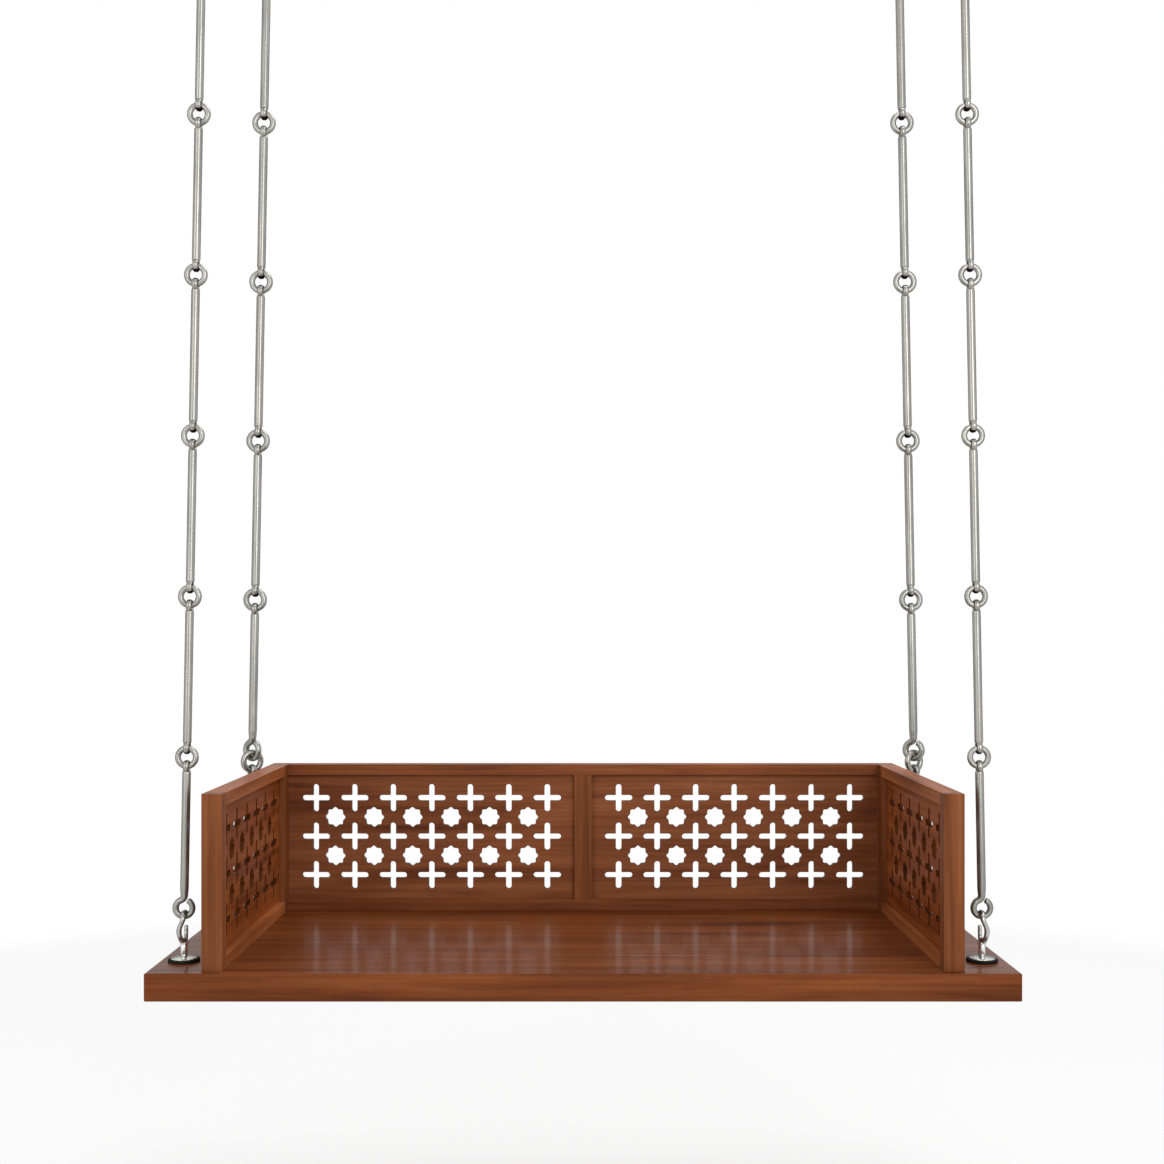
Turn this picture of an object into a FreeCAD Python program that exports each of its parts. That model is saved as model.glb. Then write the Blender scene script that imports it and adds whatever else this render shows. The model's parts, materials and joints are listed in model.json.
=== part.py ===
import FreeCAD, Part
import Sketcher
import math
import os

# A jhoola: a wooden swing seat with pierced arms and back, hung on four rod-and-ring chains.
# Millimetres, +Z up, the front faces -Y. The origin is the middle of the four ceiling studs,
# in the ceiling plane, and the swing is at rest.

Vector = FreeCAD.Vector
Rotation = FreeCAD.Rotation
Placement = FreeCAD.Placement

BACKWARD = Vector(0, 1, 0)
UP = Vector(0, 0, 1)

# Driving dimensions: lengths in mm, angles in degrees, and shares, which have no unit.
SIZES = {
    # hanging points
    "hook_spacing_y": 540,
    "hang_length": 1965,
    "ceiling_inset": 36,
    # seat board
    "seat_width": 1532,
    "seat_depth": 732,
    "seat_thickness": 49,
    "seat_edge_chamfer": 1.5,
    "hook_side_margin": 44,
    "hook_front_margin": 101,
    # arms and back
    "arm_side_margin": 97,
    "arm_thickness": 36.5,
    "arm_height": 312,
    "arm_length": 586,
    "arm_setback": 14,
    "arm_stile_width": 32,
    "back_thickness": 36,
    "mullion_width": 37,
    "rail_height": 23,
    "panel_thickness": 12,
    "groove_depth": 8,
    "groove_gap": 1,
    # jaali fretwork
    "fret_pitch": 82.9,
    "fret_margin": 15,
    "cross_span": 59.3,
    "cross_slot": 12.2,
    "star_diameter": 44,
    # rods, rings and eyes of the front chains
    "rod_diameter": 15.2,
    "rod_shoulder": 3,
    "rod_end_diameter": 11,
    "ring_outer": 43,
    "ring_wire": 10.5,
    "eye_thickness": 5.5,
    "eye_width": 10,
    "eye_play": 1,
    "link_gap": 0.3,
    # the rear chains have the same links in heavier stock
    "rear_stock_share": 1.19,
    # open loops at the ends of rods
    "loop_outer": 41,
    "loop_wire": 10.5,
    "loop_bend": 10,
    "loop_tip_angle": 52,
    # chain layout, along each chain from the middle of its lowest loop
    "front_end_length": 273,
    "front_ring_pitch": 291,
    "rear_end_length": 219,
    "rear_hook_length": 326,
    "rear_ring_pitch": 345,
    "hook_link_gap": 0.7,
    "hook_loop_turn": -32,
    "low_ring_turn": 34,
    "low_eye_turn": 40,
    # seat hooks
    "hook_wire": 9,
    "hook_width": 41,
    "hook_length": 61.3,
    "hook_turn": 7,
    "hook_tip_angle": 15,
    "hook_tip_share": 0.7,
    "hook_mouth": 13,
    "hook_sink_share": 0.9,
    "collar_diameter": 16,
    "collar_height": 5,
    # what the hooks are bolted through
    "bolt_clearance": 0.3,
    "pad_diameter": 57,
    "pad_thickness": 5,
    "disc_diameter": 47,
    "disc_rim": 1.5,
    "disc_dome": 3.5,
    "disc_crown_share": 0.4,
    "spacer_diameter": 12.5,
    "spacer_height": 21,
    "washer_diameter": 30,
    "washer_thickness": 2.5,
    "nut_across_flats": 16,
    "nut_height": 8,
    "thread_end": 5,
    # ceiling fittings
    "ceiling_eye_outer": 42,
    "ceiling_eye_wire": 10,
    "ceiling_shoulder_diameter": 20,
    "ceiling_shoulder_height": 3,
    "flange_diameter": 64,
    "flange_thickness": 4,
    "stud_diameter": 12,
    "stud_length": 50,
    # screws from below into the arms and the back
    "screw_shank": 5,
    "screw_head": 10,
    "screw_head_height": 4,
    "screw_bite": 12,
    "screw_clearance": 0.2,
    "screw_end_margin": 90,
    # how far every cut runs on past its piece
    "cut_overrun": 2,
}

# Counts: the rings in a chain, the points of a star, and the flats that stand for round forms
RINGS = 5
STAR_POINTS = 8
BAR_SIDES = 6
LINK_SIDES = 4
EYE_BENDS = 6
RING_BENDS = 8
LOOP_BENDS = 3
QUARTER_BENDS = 2
SHANK_SIDES = 6
SPACER_SIDES = 8
DISC_SIDES = 10
NUT_SIDES = 6

FULL_TURN = 360

SIDES = {"left": -1, "right": 1}
ENDS = {"front": -1, "rear": 1}
CORNERS = [(side, end) for side in SIDES.values() for end in ENDS.values()]

doc = FreeCAD.newDocument("jhoola_swing")
sheet = doc.addObject("Spreadsheet::Sheet", "sizes")
for row, (alias, value) in enumerate(SIZES.items(), start=1):
    sheet.set("A%d" % row, alias)
    sheet.set("B%d" % row, str(value))
    sheet.setAlias("B%d" % row, alias)
doc.recompute()

nodes = []


def size(alias):
    return float(getattr(sheet, alias))


def at(x, y, z):
    return Placement(Vector(x, y, z), Rotation())


def turned(axis, degrees):
    return Placement(Vector(), Rotation(axis, degrees))


def node(obj, name):
    """Name an object of the document as a piece that is handed over."""
    obj.Label = name
    nodes.append(obj)
    return obj


def primitive(kind, name, place, **bindings):
    """A Part primitive at a place, with its sizes bound to the sheet."""
    obj = doc.addObject("Part::" + kind, name)
    for prop, expression in bindings.items():
        obj.setExpression(prop, expression)
    obj.Placement = place
    return obj


def prism(name, place, sides, radius, height):
    """An upright prism for a round or hexagonal piece, its corners at the radius."""
    obj = primitive("Prism", name, place, Circumradius=radius, Height=height)
    obj.Polygon = sides
    return obj


def bore(name, place, radius, height):
    """The tool for a bore up from a place, its flats at the radius."""
    start = place.multiply(at(0, 0, -size("cut_overrun")))
    corner_radius = "(%s) / cos(180 / %d)" % (radius, SHANK_SIDES)
    return prism(name, start, SHANK_SIDES, corner_radius, height + " + 2 * sizes.cut_overrun")


def feature(name, shape, place):
    """A shape made in code, put at a place."""
    obj = doc.addObject("Part::Feature", name)
    obj.Shape = shape
    obj.Placement = place
    return obj


def fused(name, pieces):
    obj = doc.addObject("Part::MultiFuse", name)
    obj.Shapes = pieces
    obj.Refine = True
    return obj


def difference(name, base, tool):
    obj = doc.addObject("Part::Cut", name)
    obj.Base = base
    obj.Tool = tool
    obj.Refine = True
    return obj


def group(name, pieces):
    """Separate solids that share one node."""
    obj = doc.addObject("Part::Compound", name)
    obj.Links = pieces
    return obj


# Levels and corners, worked out from the driving dimensions

loop_radius = (size("loop_outer") - size("loop_wire")) / 2
hook_radius = (size("hook_width") - size("hook_wire")) / 2
hook_tip_radius = size("hook_tip_share") * size("hook_wire") / 2
ceiling_eye_radius = (size("ceiling_eye_outer") - size("ceiling_eye_wire")) / 2

# The top bar of a chain's highest loop lies on the bottom bar of its ceiling eye.
upper_reach = (size("ceiling_eye_wire") + size("loop_wire")) / 2 + size("link_gap")
ceiling_eye_z = -(size("flange_thickness") + size("ceiling_shoulder_height") + size("ceiling_eye_outer") / 2)
upper_pivot_z = ceiling_eye_z - ceiling_eye_radius + upper_reach

# The bottom bar of its lowest loop pulls up on the slender top bar of a seat hook.
lower_reach = hook_tip_radius + size("loop_wire") / 2 + size("link_gap")
lower_pivot_z = upper_pivot_z - size("hang_length")
hook_top_z = lower_pivot_z + lower_reach + hook_tip_radius

# The hook's bent bar is sunk in the collar, which stands on the rest of the stack.
hook_low_z = hook_top_z - size("hook_length")
collar_top_z = hook_low_z + size("hook_sink_share") * size("collar_height")
collar_z = collar_top_z - size("collar_height")
spacer_z = collar_z - size("spacer_height")
disc_z = spacer_z - size("disc_dome") - size("disc_rim")
pad_z = disc_z - size("pad_thickness")
seat_top_z = pad_z
seat_bottom_z = seat_top_z - size("seat_thickness")
washer_z = seat_bottom_z - size("washer_thickness")
nut_z = washer_z - size("nut_height")
thread_end_z = nut_z - size("thread_end")

seat_front_y = -size("hook_spacing_y") / 2 - size("hook_front_margin")
arm_front_y = seat_front_y + size("arm_setback")
back_front_y = arm_front_y + size("arm_length")
arm_outer_x = size("seat_width") / 2 - size("arm_side_margin")
arm_inner_x = arm_outer_x - size("arm_thickness")
hook_x = size("seat_width") / 2 - size("hook_side_margin")
ceiling_x = hook_x - size("ceiling_inset")


def corner_place(corner, z):
    side, end = corner
    return at(side * hook_x, end * size("hook_spacing_y") / 2, z)


# Seat board, with its bores for the hooks and the screws

SCREW_BORE = "sizes.screw_shank / 2 + sizes.screw_clearance"
BOLT_BORE = "sizes.hook_wire / 2 + sizes.bolt_clearance"


def screw_places():
    """Screws under both arms and under the back, as x and y."""
    margin = size("screw_end_margin")
    arm_x = arm_inner_x + size("arm_thickness") / 2
    arm_ys = (arm_front_y + margin, back_front_y - margin)
    back_y = back_front_y + size("back_thickness") / 2
    back_xs = (arm_inner_x - margin, margin)
    under_arms = [(side * arm_x, y) for side in SIDES.values() for y in arm_ys]
    under_back = [(side * x, back_y) for side in SIDES.values() for x in back_xs]
    return under_arms + under_back


def screw_bores(name, places):
    """Bores up through the board and into a bottom rail."""
    height = "sizes.seat_thickness + sizes.screw_bite"
    bores = []
    for index, (x, y) in enumerate(places):
        bores.append(bore("%s_%d" % (name, index), at(x, y, seat_bottom_z), SCREW_BORE, height))
    return fused(name, bores)


def seat_blank():
    """The board before it is bored: a padded rectangle with its edges chamfered."""
    body = doc.addObject("PartDesign::Body", "seat_blank")
    body.Placement = at(0, 0, seat_bottom_z)
    half = size("seat_width") / 2
    rear_y = seat_front_y + size("seat_depth")
    points = [(-half, seat_front_y), (half, seat_front_y), (half, rear_y), (-half, rear_y)]
    outline = body.newObject("Sketcher::SketchObject", "seat_outline")
    plane = [item for item in body.Origin.OriginFeatures if item.Role == "XY_Plane"][0]
    outline.AttachmentSupport = [(plane, "")]
    outline.MapMode = "FlatFace"
    for index, start in enumerate(points):
        end = points[(index + 1) % len(points)]
        outline.addGeometry(Part.LineSegment(Vector(*start, 0), Vector(*end, 0)))
    for index in range(len(points)):
        outline.addConstraint(Sketcher.Constraint("Coincident", index, 2, (index + 1) % len(points), 1))
        direction = "Vertical" if index % 2 else "Horizontal"
        outline.addConstraint(Sketcher.Constraint(direction, index))
    held = [
        (Sketcher.Constraint("DistanceX", 0, 1, -1, 1, half), "sizes.seat_width / 2"),
        (Sketcher.Constraint("DistanceX", 0, 1, 0, 2, 2 * half), "sizes.seat_width"),
        (Sketcher.Constraint("DistanceY", 1, 1, 1, 2, rear_y - seat_front_y), "sizes.seat_depth"),
        (
            Sketcher.Constraint("DistanceY", 0, 1, -1, 1, -seat_front_y),
            "sizes.hook_spacing_y / 2 + sizes.hook_front_margin",
        ),
    ]
    for constraint, expression in held:
        outline.setExpression("Constraints[%d]" % outline.addConstraint(constraint), expression)

    board = body.newObject("PartDesign::Pad", "seat_pad")
    board.Profile = outline
    board.setExpression("Length", "sizes.seat_thickness")
    doc.recompute()
    edges = body.newObject("PartDesign::Chamfer", "seat_edges")
    edges.Base = (board, ["Edge%d" % (index + 1) for index in range(len(board.Shape.Edges))])
    edges.setExpression("Size", "sizes.seat_edge_chamfer")
    return body


def seat_board():
    bolts = []
    for index, corner in enumerate(CORNERS):
        place = corner_place(corner, seat_bottom_z)
        bolts.append(bore("bolt_bore_%d" % index, place, BOLT_BORE, "sizes.seat_thickness"))
    bores = fused("seat_bores", bolts + [screw_bores("board_screw_bores", screw_places())])
    node(difference("seat_board", seat_blank(), bores), "seat_board")


def screws():
    """Hexagon-headed wood screws up through the board into the bottom rails."""
    pieces = []
    for index, (x, y) in enumerate(screw_places()):
        head = prism(
            "screw_head_%d" % index,
            at(x, y, seat_bottom_z - size("screw_head_height")),
            NUT_SIDES,
            "sizes.screw_head / 2",
            "sizes.screw_head_height",
        )
        shank = prism(
            "screw_shank_%d" % index,
            at(x, y, seat_bottom_z),
            SHANK_SIDES,
            "sizes.screw_shank / 2",
            "sizes.seat_thickness + sizes.screw_bite",
        )
        pieces.append(fused("screw_%d" % index, [head, shank]))
    node(group("seat_screws", pieces), "seat_screws")


# Framed panels: stiles and rails, grooved for a pierced panel, with the rails' tenons in the
# stiles' grooves. A frame is planned along u, its length; its thickness lies across v.

class Frame:
    """The place of a frame: its lower corner, the heading of its length and its thickness."""

    def __init__(self, corner_x, corner_y, heading, thickness):
        self.origin = at(corner_x, corner_y, seat_top_z).multiply(turned(UP, heading))
        self.thickness = "sizes." + thickness
        self.panel_v = (size(thickness) - size("panel_thickness")) / 2

    def place(self, u, v, z):
        return self.origin.multiply(at(u, v, z))

    def block(self, name, u, z, length, height):
        """A block through the frame's whole thickness."""
        return primitive(
            "Box", name, self.place(u, 0, z), Length=length, Width=self.thickness, Height=height
        )

    def tongue(self, name, u, z, length, height):
        """A block as thick as the panel, in the frame's middle plane: a tenon or a groove."""
        return primitive(
            "Box",
            name,
            self.place(u, self.panel_v, z),
            Length=length,
            Width="sizes.panel_thickness",
            Height=height,
        )

    def stile(self, name, u, width, groove_u):
        """An upright as high as the frame, grooved along one edge."""
        body = self.block(name + "_body", u, 0, "sizes." + width, "sizes.arm_height")
        groove = self.tongue(name + "_groove", groove_u, 0, "sizes.groove_depth", "sizes.arm_height")
        return difference(name, body, groove)

    def rail(self, name, u, length, top):
        """A rail with a tenon at each end, grooved along the edge that faces the panel."""
        deep = size("groove_depth")
        z = size("arm_height") - size("rail_height") if top else 0
        groove_z = z if top else size("rail_height") - deep
        with_tenons = length + " + 2 * sizes.groove_depth"
        body = self.block(name + "_body", u, z, length, "sizes.rail_height")
        tenons = self.tongue(name + "_tenons", u - deep, z, with_tenons, "sizes.rail_height")
        groove = self.tongue(name + "_groove", u - deep, groove_z, with_tenons, "sizes.groove_depth")
        return difference(name, fused(name + "_bar", [body, tenons]), groove)

    def panel(self, name, u, clear_length, clear_expression):
        """A pierced panel whose edges stand in the grooves round its clear opening."""
        edge = size("groove_depth") - size("groove_gap")
        blank = self.tongue(
            name + "_blank",
            u - edge,
            size("rail_height") - edge,
            clear_expression + " + 2 * (sizes.groove_depth - sizes.groove_gap)",
            "sizes.arm_height - 2 * sizes.rail_height + 2 * (sizes.groove_depth - sizes.groove_gap)",
        )
        clear_height = size("arm_height") - 2 * size("rail_height")
        place = self.place(u, self.panel_v, size("rail_height"))
        fretwork = feature(name + "_fretwork", fret_cuts(clear_length, clear_height), place)
        node(difference(name, blank, fretwork), name)


# Jaali fretwork: crosses on a square grid, with an eight-pointed figure between each four

def outline_cut(points, x, z):
    """A prism right through the panel, from the points of its outline about x, z."""
    overrun = size("cut_overrun")
    corners = [Vector(x + a, -overrun, z + b) for a, b in points]
    face = Part.Face(Part.makePolygon(corners + corners[:1]))
    return face.extrude(BACKWARD * (size("panel_thickness") + 2 * overrun))


def cross_points():
    """Two crossed slots."""
    half = size("cross_slot") / 2
    tip = size("cross_span") / 2
    arm = [(half, -half), (tip, -half), (tip, half)]
    points = []
    for quarter in range(4):
        points += arm
        arm = [(-b, a) for a, b in arm]
    return points


def star_points():
    reach = size("star_diameter") / 2
    angles = [2 * math.pi * step / STAR_POINTS for step in range(STAR_POINTS)]
    return [(reach * math.cos(angle), reach * math.sin(angle)) for angle in angles]


def fret_line(clear):
    """Places of the crosses along a clear opening, as many as fit inside its margins."""
    room = clear - size("cross_span") - 2 * size("fret_margin")
    gaps = int(room / size("fret_pitch"))
    start = (clear - gaps * size("fret_pitch")) / 2
    return [start + index * size("fret_pitch") for index in range(gaps + 1)]


def fret_cuts(clear_length, clear_height):
    columns = fret_line(clear_length)
    rows = fret_line(clear_height)
    half_pitch = size("fret_pitch") / 2
    cuts = [outline_cut(cross_points(), x, z) for x in columns for z in rows]
    for x in columns[:-1]:
        for z in rows[:-1]:
            cuts.append(outline_cut(star_points(), x + half_pitch, z + half_pitch))
    return Part.makeCompound(cuts)


# Arms and back

ARM_GAP = "(sizes.seat_width - 2 * (sizes.arm_side_margin + sizes.arm_thickness))"


def arm(side_name):
    side = SIDES[side_name]
    name = side_name + "_arm_"
    right_face_x = arm_outer_x if side > 0 else -arm_inner_x
    frame = Frame(right_face_x, arm_front_y, 90, "arm_thickness")
    stile = size("arm_stile_width")
    length = size("arm_length")
    span = "(sizes.arm_length - 2 * sizes.arm_stile_width)"
    front = frame.stile(name + "front_stile", 0, "arm_stile_width", stile - size("groove_depth"))
    rear = frame.stile(name + "rear_stile", length - stile, "arm_stile_width", length - stile)
    node(group(name + "stiles", [front, rear]), name + "stiles")
    node(frame.rail(name + "top_rail", stile, span, True), name + "top_rail")
    bottom = frame.rail(name + "bottom_rail_blank", stile, span, False)
    screwed = [(x, y) for x, y in screw_places() if x * side > arm_inner_x]
    pilots = screw_bores(name + "pilots", screwed)
    node(difference(name + "bottom_rail", bottom, pilots), name + "bottom_rail")
    frame.panel(name + "panel", stile, length - 2 * stile, span)


def back():
    frame = Frame(-arm_outer_x, back_front_y, 0, "back_thickness")
    stile = size("arm_thickness")
    deep = size("groove_depth")
    length = 2 * arm_outer_x
    left = frame.stile("back_left_stile", 0, "arm_thickness", stile - deep)
    right = frame.stile("back_right_stile", length - stile, "arm_thickness", length - stile)
    node(group("back_end_stiles", [left, right]), "back_end_stiles")
    node(frame.rail("back_top_rail", stile, ARM_GAP, True), "back_top_rail")
    bottom = frame.rail("back_bottom_rail_blank", stile, ARM_GAP, False)
    screwed = [(x, y) for x, y in screw_places() if abs(x) < arm_inner_x]
    pilots = screw_bores("back_pilots", screwed)
    node(difference("back_bottom_rail", bottom, pilots), "back_bottom_rail")

    # the middle upright, tenoned into both rails and grooved on both edges
    mullion_u = (length - size("mullion_width")) / 2
    mullion_end_u = mullion_u + size("mullion_width")
    rail = size("rail_height")
    clear_height = "sizes.arm_height - 2 * sizes.rail_height"
    with_tenons = clear_height + " + 2 * sizes.groove_depth"
    body = frame.block("mullion_body", mullion_u, rail, "sizes.mullion_width", clear_height)
    tenons = frame.tongue("mullion_tenons", mullion_u, rail - deep, "sizes.mullion_width", with_tenons)
    grooves = []
    for index, u in enumerate((mullion_u, mullion_end_u - deep)):
        name = "mullion_groove_%d" % index
        grooves.append(frame.tongue(name, u, rail - deep, "sizes.groove_depth", with_tenons))
    bar = fused("mullion_bar", [body, tenons])
    node(difference("back_mullion", bar, fused("mullion_grooves", grooves)), "back_mullion")

    clear_length = mullion_u - stile
    clear_expression = "(%s - sizes.mullion_width) / 2" % ARM_GAP
    frame.panel("back_left_panel", stile, clear_length, clear_expression)
    frame.panel("back_right_panel", mullion_end_u, clear_length, clear_expression)


# Bars with a few flat sides, mitred at each bend

def bar(points, radii, sides, normal, closed=False, spread=1):
    """A solid bar along points in one plane, with that plane's normal and a radius at each point.

    The bar is as much wider along the normal as the spread says."""
    count = len(points)
    headings = [(points[(i + 1) % count] - points[i]).normalize() for i in range(count)]
    sections = []
    for i in range(count):
        before = headings[i - 1] if closed or i else headings[i]
        after = headings[i] if closed or i < count - 1 else headings[i - 1]
        out_before = before.cross(normal)
        out_after = after.cross(normal)
        mitre = (out_before + out_after) * (1 / (1 + out_before.dot(out_after)))
        corners = []
        for side in range(sides):
            angle = 2 * math.pi * side / sides
            across = mitre * math.cos(angle) + normal * (spread * math.sin(angle))
            corners.append(points[i] + across * radii[i])
        sections.append(corners)

    def facet(corners):
        return Part.Face(Part.makePolygon(corners + corners[:1]))

    facets = []
    for i in range(count if closed else count - 1):
        here = sections[i]
        there = sections[(i + 1) % count]
        for side in range(sides):
            following = (side + 1) % sides
            facets.append(facet([here[side], here[following], there[following], there[side]]))
    if not closed:
        facets += [facet(sections[0]), facet(sections[-1])]
    solid = Part.Solid(Part.Shell(facets))
    if solid.Volume < 0:
        solid.reverse()
    return solid


def polar(centre, radius, degrees):
    """A point about a centre in the XZ plane, its angle from +X towards +Z."""
    angle = math.radians(degrees)
    return centre + Vector(radius * math.cos(angle), 0, radius * math.sin(angle))


def bends(centre, radius, start, end, count):
    """Corners of equal runs that touch an arc from outside, first at its start, last at its end."""
    step = (end - start) / count
    reach = radius / math.cos(math.radians(step / 2))
    return [polar(centre, reach, start + step * (index + 1 / 2)) for index in range(count)]


def closed_link(radius, wire_radius, count, sides, spread=1):
    """A ring or an eye in the XZ plane, with a straight run at its top and its bottom."""
    points = bends(Vector(), radius, 90, 90 + FULL_TURN, count)
    return bar(points, [wire_radius] * count, sides, BACKWARD, closed=True, spread=spread)


# Chain links

class Stock:
    """The link sizes of a chain, as a share of the front chains' links."""

    def __init__(self, share):
        self.share = share
        self.rod_radius = share * size("rod_diameter") / 2
        self.end_radius = share * size("rod_end_diameter") / 2
        self.shoulder = share * size("rod_shoulder")
        self.ring_wire_radius = share * size("ring_wire") / 2
        self.ring_radius = share * size("ring_outer") / 2 - self.ring_wire_radius
        self.eye_wire_radius = share * size("eye_thickness") / 2
        self.eye_radius = self.ring_wire_radius + share * size("eye_play") + self.eye_wire_radius
        # an eye hangs in its ring: how far its middle is from the ring's, and where its rod begins
        reach = self.ring_wire_radius + self.eye_wire_radius + size("link_gap")
        self.eye_offset = self.ring_radius + self.eye_radius - reach
        self.rod_offset = self.eye_offset + self.eye_radius

    def ring(self):
        return closed_link(self.ring_radius, self.ring_wire_radius, RING_BENDS, LINK_SIDES)

    def eye(self):
        """A flattened eye, wider than its wire is thick."""
        spread = size("eye_width") / size("eye_thickness")
        return closed_link(self.eye_radius, self.eye_wire_radius, EYE_BENDS, LINK_SIDES, spread)


class Loop:
    """An open loop: the bar comes along the rod's axis, swings left and runs round to its tip."""

    def __init__(self, share):
        self.radius = share * loop_radius
        self.wire_radius = share * size("loop_wire") / 2
        self.bend = share * size("loop_bend")
        self.height = math.sqrt(self.radius ** 2 + 2 * self.radius * self.bend)

    def points(self):
        """The bar's corners below the rod, from its axis to the tip, about the loop's middle."""
        meeting = math.degrees(math.atan2(self.height, -self.bend))
        tip = FULL_TURN + size("loop_tip_angle")
        start = Vector(0, 0, self.height)
        points = [start]
        points += bends(Vector(-self.bend, 0, self.height), self.bend, 0, meeting - 180, QUARTER_BENDS)
        points += bends(Vector(), self.radius, meeting, 270, LOOP_BENDS)
        points += bends(Vector(), self.radius, 270, tip, LOOP_BENDS)
        points.append(polar(Vector(), self.radius, tip))
        return points


def rod(stock, length, low_loop=None, high_loop=None, turn=0, eye_turn=0):
    """A rod between two links whose middles are length apart, the lower one at the origin.

    One end may be an open loop, in the XZ plane turned about the rod. Every other end is a closed
    eye round the ring there, in the YZ plane turned likewise."""
    low, low_radii = rod_end(stock, low_loop)
    high, high_radii = rod_end(stock, high_loop)
    high = [Vector(point.x, 0, length - point.z) for point in high]
    points = low[::-1] + high
    radii = low_radii[::-1] + high_radii
    straight = bar(points, radii, BAR_SIDES, BACKWARD)
    straight.Placement = turned(UP, turn)
    eyes = []
    for loop, z in ((low_loop, stock.eye_offset), (high_loop, length - stock.eye_offset)):
        if loop is None:
            eye = stock.eye()
            eye.Placement = at(0, 0, z).multiply(turned(UP, 90 + eye_turn))
            eyes.append(eye)
    return straight.fuse(eyes)


def rod_end(stock, loop):
    """The lower end of a rod from the top of its shoulder down, as points and radii."""
    if loop is None:
        tip = [Vector(0, 0, stock.rod_offset)]
        radii = [stock.end_radius]
    else:
        tip = loop.points()
        radii = [loop.wire_radius] * len(tip)
    shoulder = Vector(0, 0, tip[0].z + stock.shoulder)
    return [shoulder] + tip, [stock.rod_radius] + radii


chain_rise = size("hang_length") - 2 * loop_radius
chain_shift = size("ceiling_inset")
chain_length = math.hypot(chain_rise, chain_shift)
chain_lean = math.degrees(math.atan2(chain_shift, chain_rise))


class Chain:
    """A chain's name, its stock and its place, with its lowest loop's middle at the origin."""

    def __init__(self, side_name, end_name, share):
        side = SIDES[side_name]
        self.name = end_name + "_" + side_name
        self.stock = Stock(share)
        low = corner_place((side, ENDS[end_name]), lower_pivot_z + loop_radius)
        self.low = low.multiply(turned(BACKWARD, -side * chain_lean))

    def place(self, z, turn=0):
        return self.low.multiply(at(0, 0, z)).multiply(turned(UP, turn))

    def add(self, name, shape, z):
        full = self.name + "_" + name
        return node(feature(full, shape, self.place(z)), full)

    def rings(self, heights):
        """One node for each ring, numbered from the top. A height may come with a turn."""
        for number, (z, turn) in enumerate(heights, start=1):
            full = "%s_ring_%d" % (self.name, number)
            node(feature(full, self.stock.ring(), self.place(z, turn)), full)

    def middle_rods(self, low_heights, pitch):
        full = self.name + "_middle_rods"
        shape = rod(self.stock, pitch)
        rods = [feature(full + "_%d" % i, shape, self.place(z)) for i, z in enumerate(low_heights)]
        node(group(full, rods), full)


def front_chain(side_name):
    chain = Chain(side_name, "front", 1)
    loop = Loop(1)
    pitch = size("front_ring_pitch")
    heights = [size("front_end_length") + pitch * index for index in range(RINGS)]
    chain.rings([(z, 0) for z in reversed(heights)])
    chain.add("end_rod", rod(chain.stock, heights[0], low_loop=loop), 0)
    chain.middle_rods(heights[:-1], pitch)
    chain.add("top_rod", rod(chain.stock, chain_length - heights[-1], high_loop=loop), heights[-1])


def rear_chain(side_name):
    """Like a front chain, but its lowest ring hangs in an open loop of the rod above."""
    chain = Chain(side_name, "rear", size("rear_stock_share"))
    stock = chain.stock
    end_loop = Loop(1)
    hook_loop = Loop(stock.share)
    pitch = size("rear_ring_pitch")
    low_ring = size("rear_end_length")
    hang = hook_loop.radius + stock.ring_radius
    hang -= hook_loop.wire_radius + stock.ring_wire_radius + size("hook_link_gap")
    hook_middle = low_ring + hang
    heights = [hook_middle + size("rear_hook_length") + pitch * index for index in range(RINGS - 1)]
    chain.rings([(z, 0) for z in reversed(heights)] + [(low_ring, size("low_ring_turn"))])
    end_rod = rod(stock, low_ring, low_loop=end_loop, eye_turn=size("low_eye_turn"))
    chain.add("end_rod", end_rod, 0)
    hook_rod = rod(stock, size("rear_hook_length"), low_loop=hook_loop, turn=size("hook_loop_turn"))
    chain.add("hook_rod", hook_rod, hook_middle)
    chain.middle_rods(heights[:-1], pitch)
    chain.add("top_rod", rod(stock, chain_length - heights[-1], high_loop=end_loop), heights[-1])


# Seat hooks, bolted through the board

def washer(name, place, sides, radius, height, bore_radius=BOLT_BORE):
    """A flat piece with a bore right through it."""
    body = prism(name + "_body", place, sides, radius, height)
    return difference(name, body, bore(name + "_bore", place, bore_radius, height))


DISC_HEIGHT = "(sizes.disc_rim + sizes.disc_dome)"
SHANK_LENGTH = (
    "sizes.thread_end + sizes.nut_height + sizes.washer_thickness + sizes.seat_thickness"
    " + sizes.pad_thickness + %s + sizes.spacer_height" % DISC_HEIGHT
)


def hook_oval():
    """The hook's bent bar about its own axis, in the XZ plane, its mouth in the limb at +X.

    It is slender from its tip round its top, and thickens down the whole limb."""
    wire_radius = size("hook_wire") / 2
    low = Vector(0, 0, hook_low_z + wire_radius + hook_radius)
    high = Vector(0, 0, hook_top_z - hook_tip_radius - hook_radius)
    tip = size("hook_tip_angle")
    tip_point = polar(high, hook_radius, tip)
    points = [tip_point]
    points += bends(high, hook_radius, tip, 90, QUARTER_BENDS)
    points += bends(high, hook_radius, 90, 180, QUARTER_BENDS)
    points.append(Vector(-hook_radius, 0, high.z))
    slender = len(points)
    points.append(Vector(-hook_radius, 0, low.z))
    points += bends(low, hook_radius, 180, 270, QUARTER_BENDS)
    points += bends(low, hook_radius, 270, 360, QUARTER_BENDS)
    points.append(Vector(hook_radius, 0, tip_point.z - size("hook_mouth")))
    radii = [hook_tip_radius] * slender + [wire_radius] * (len(points) - slender)
    return bar(points, radii, BAR_SIDES, BACKWARD)


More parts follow.
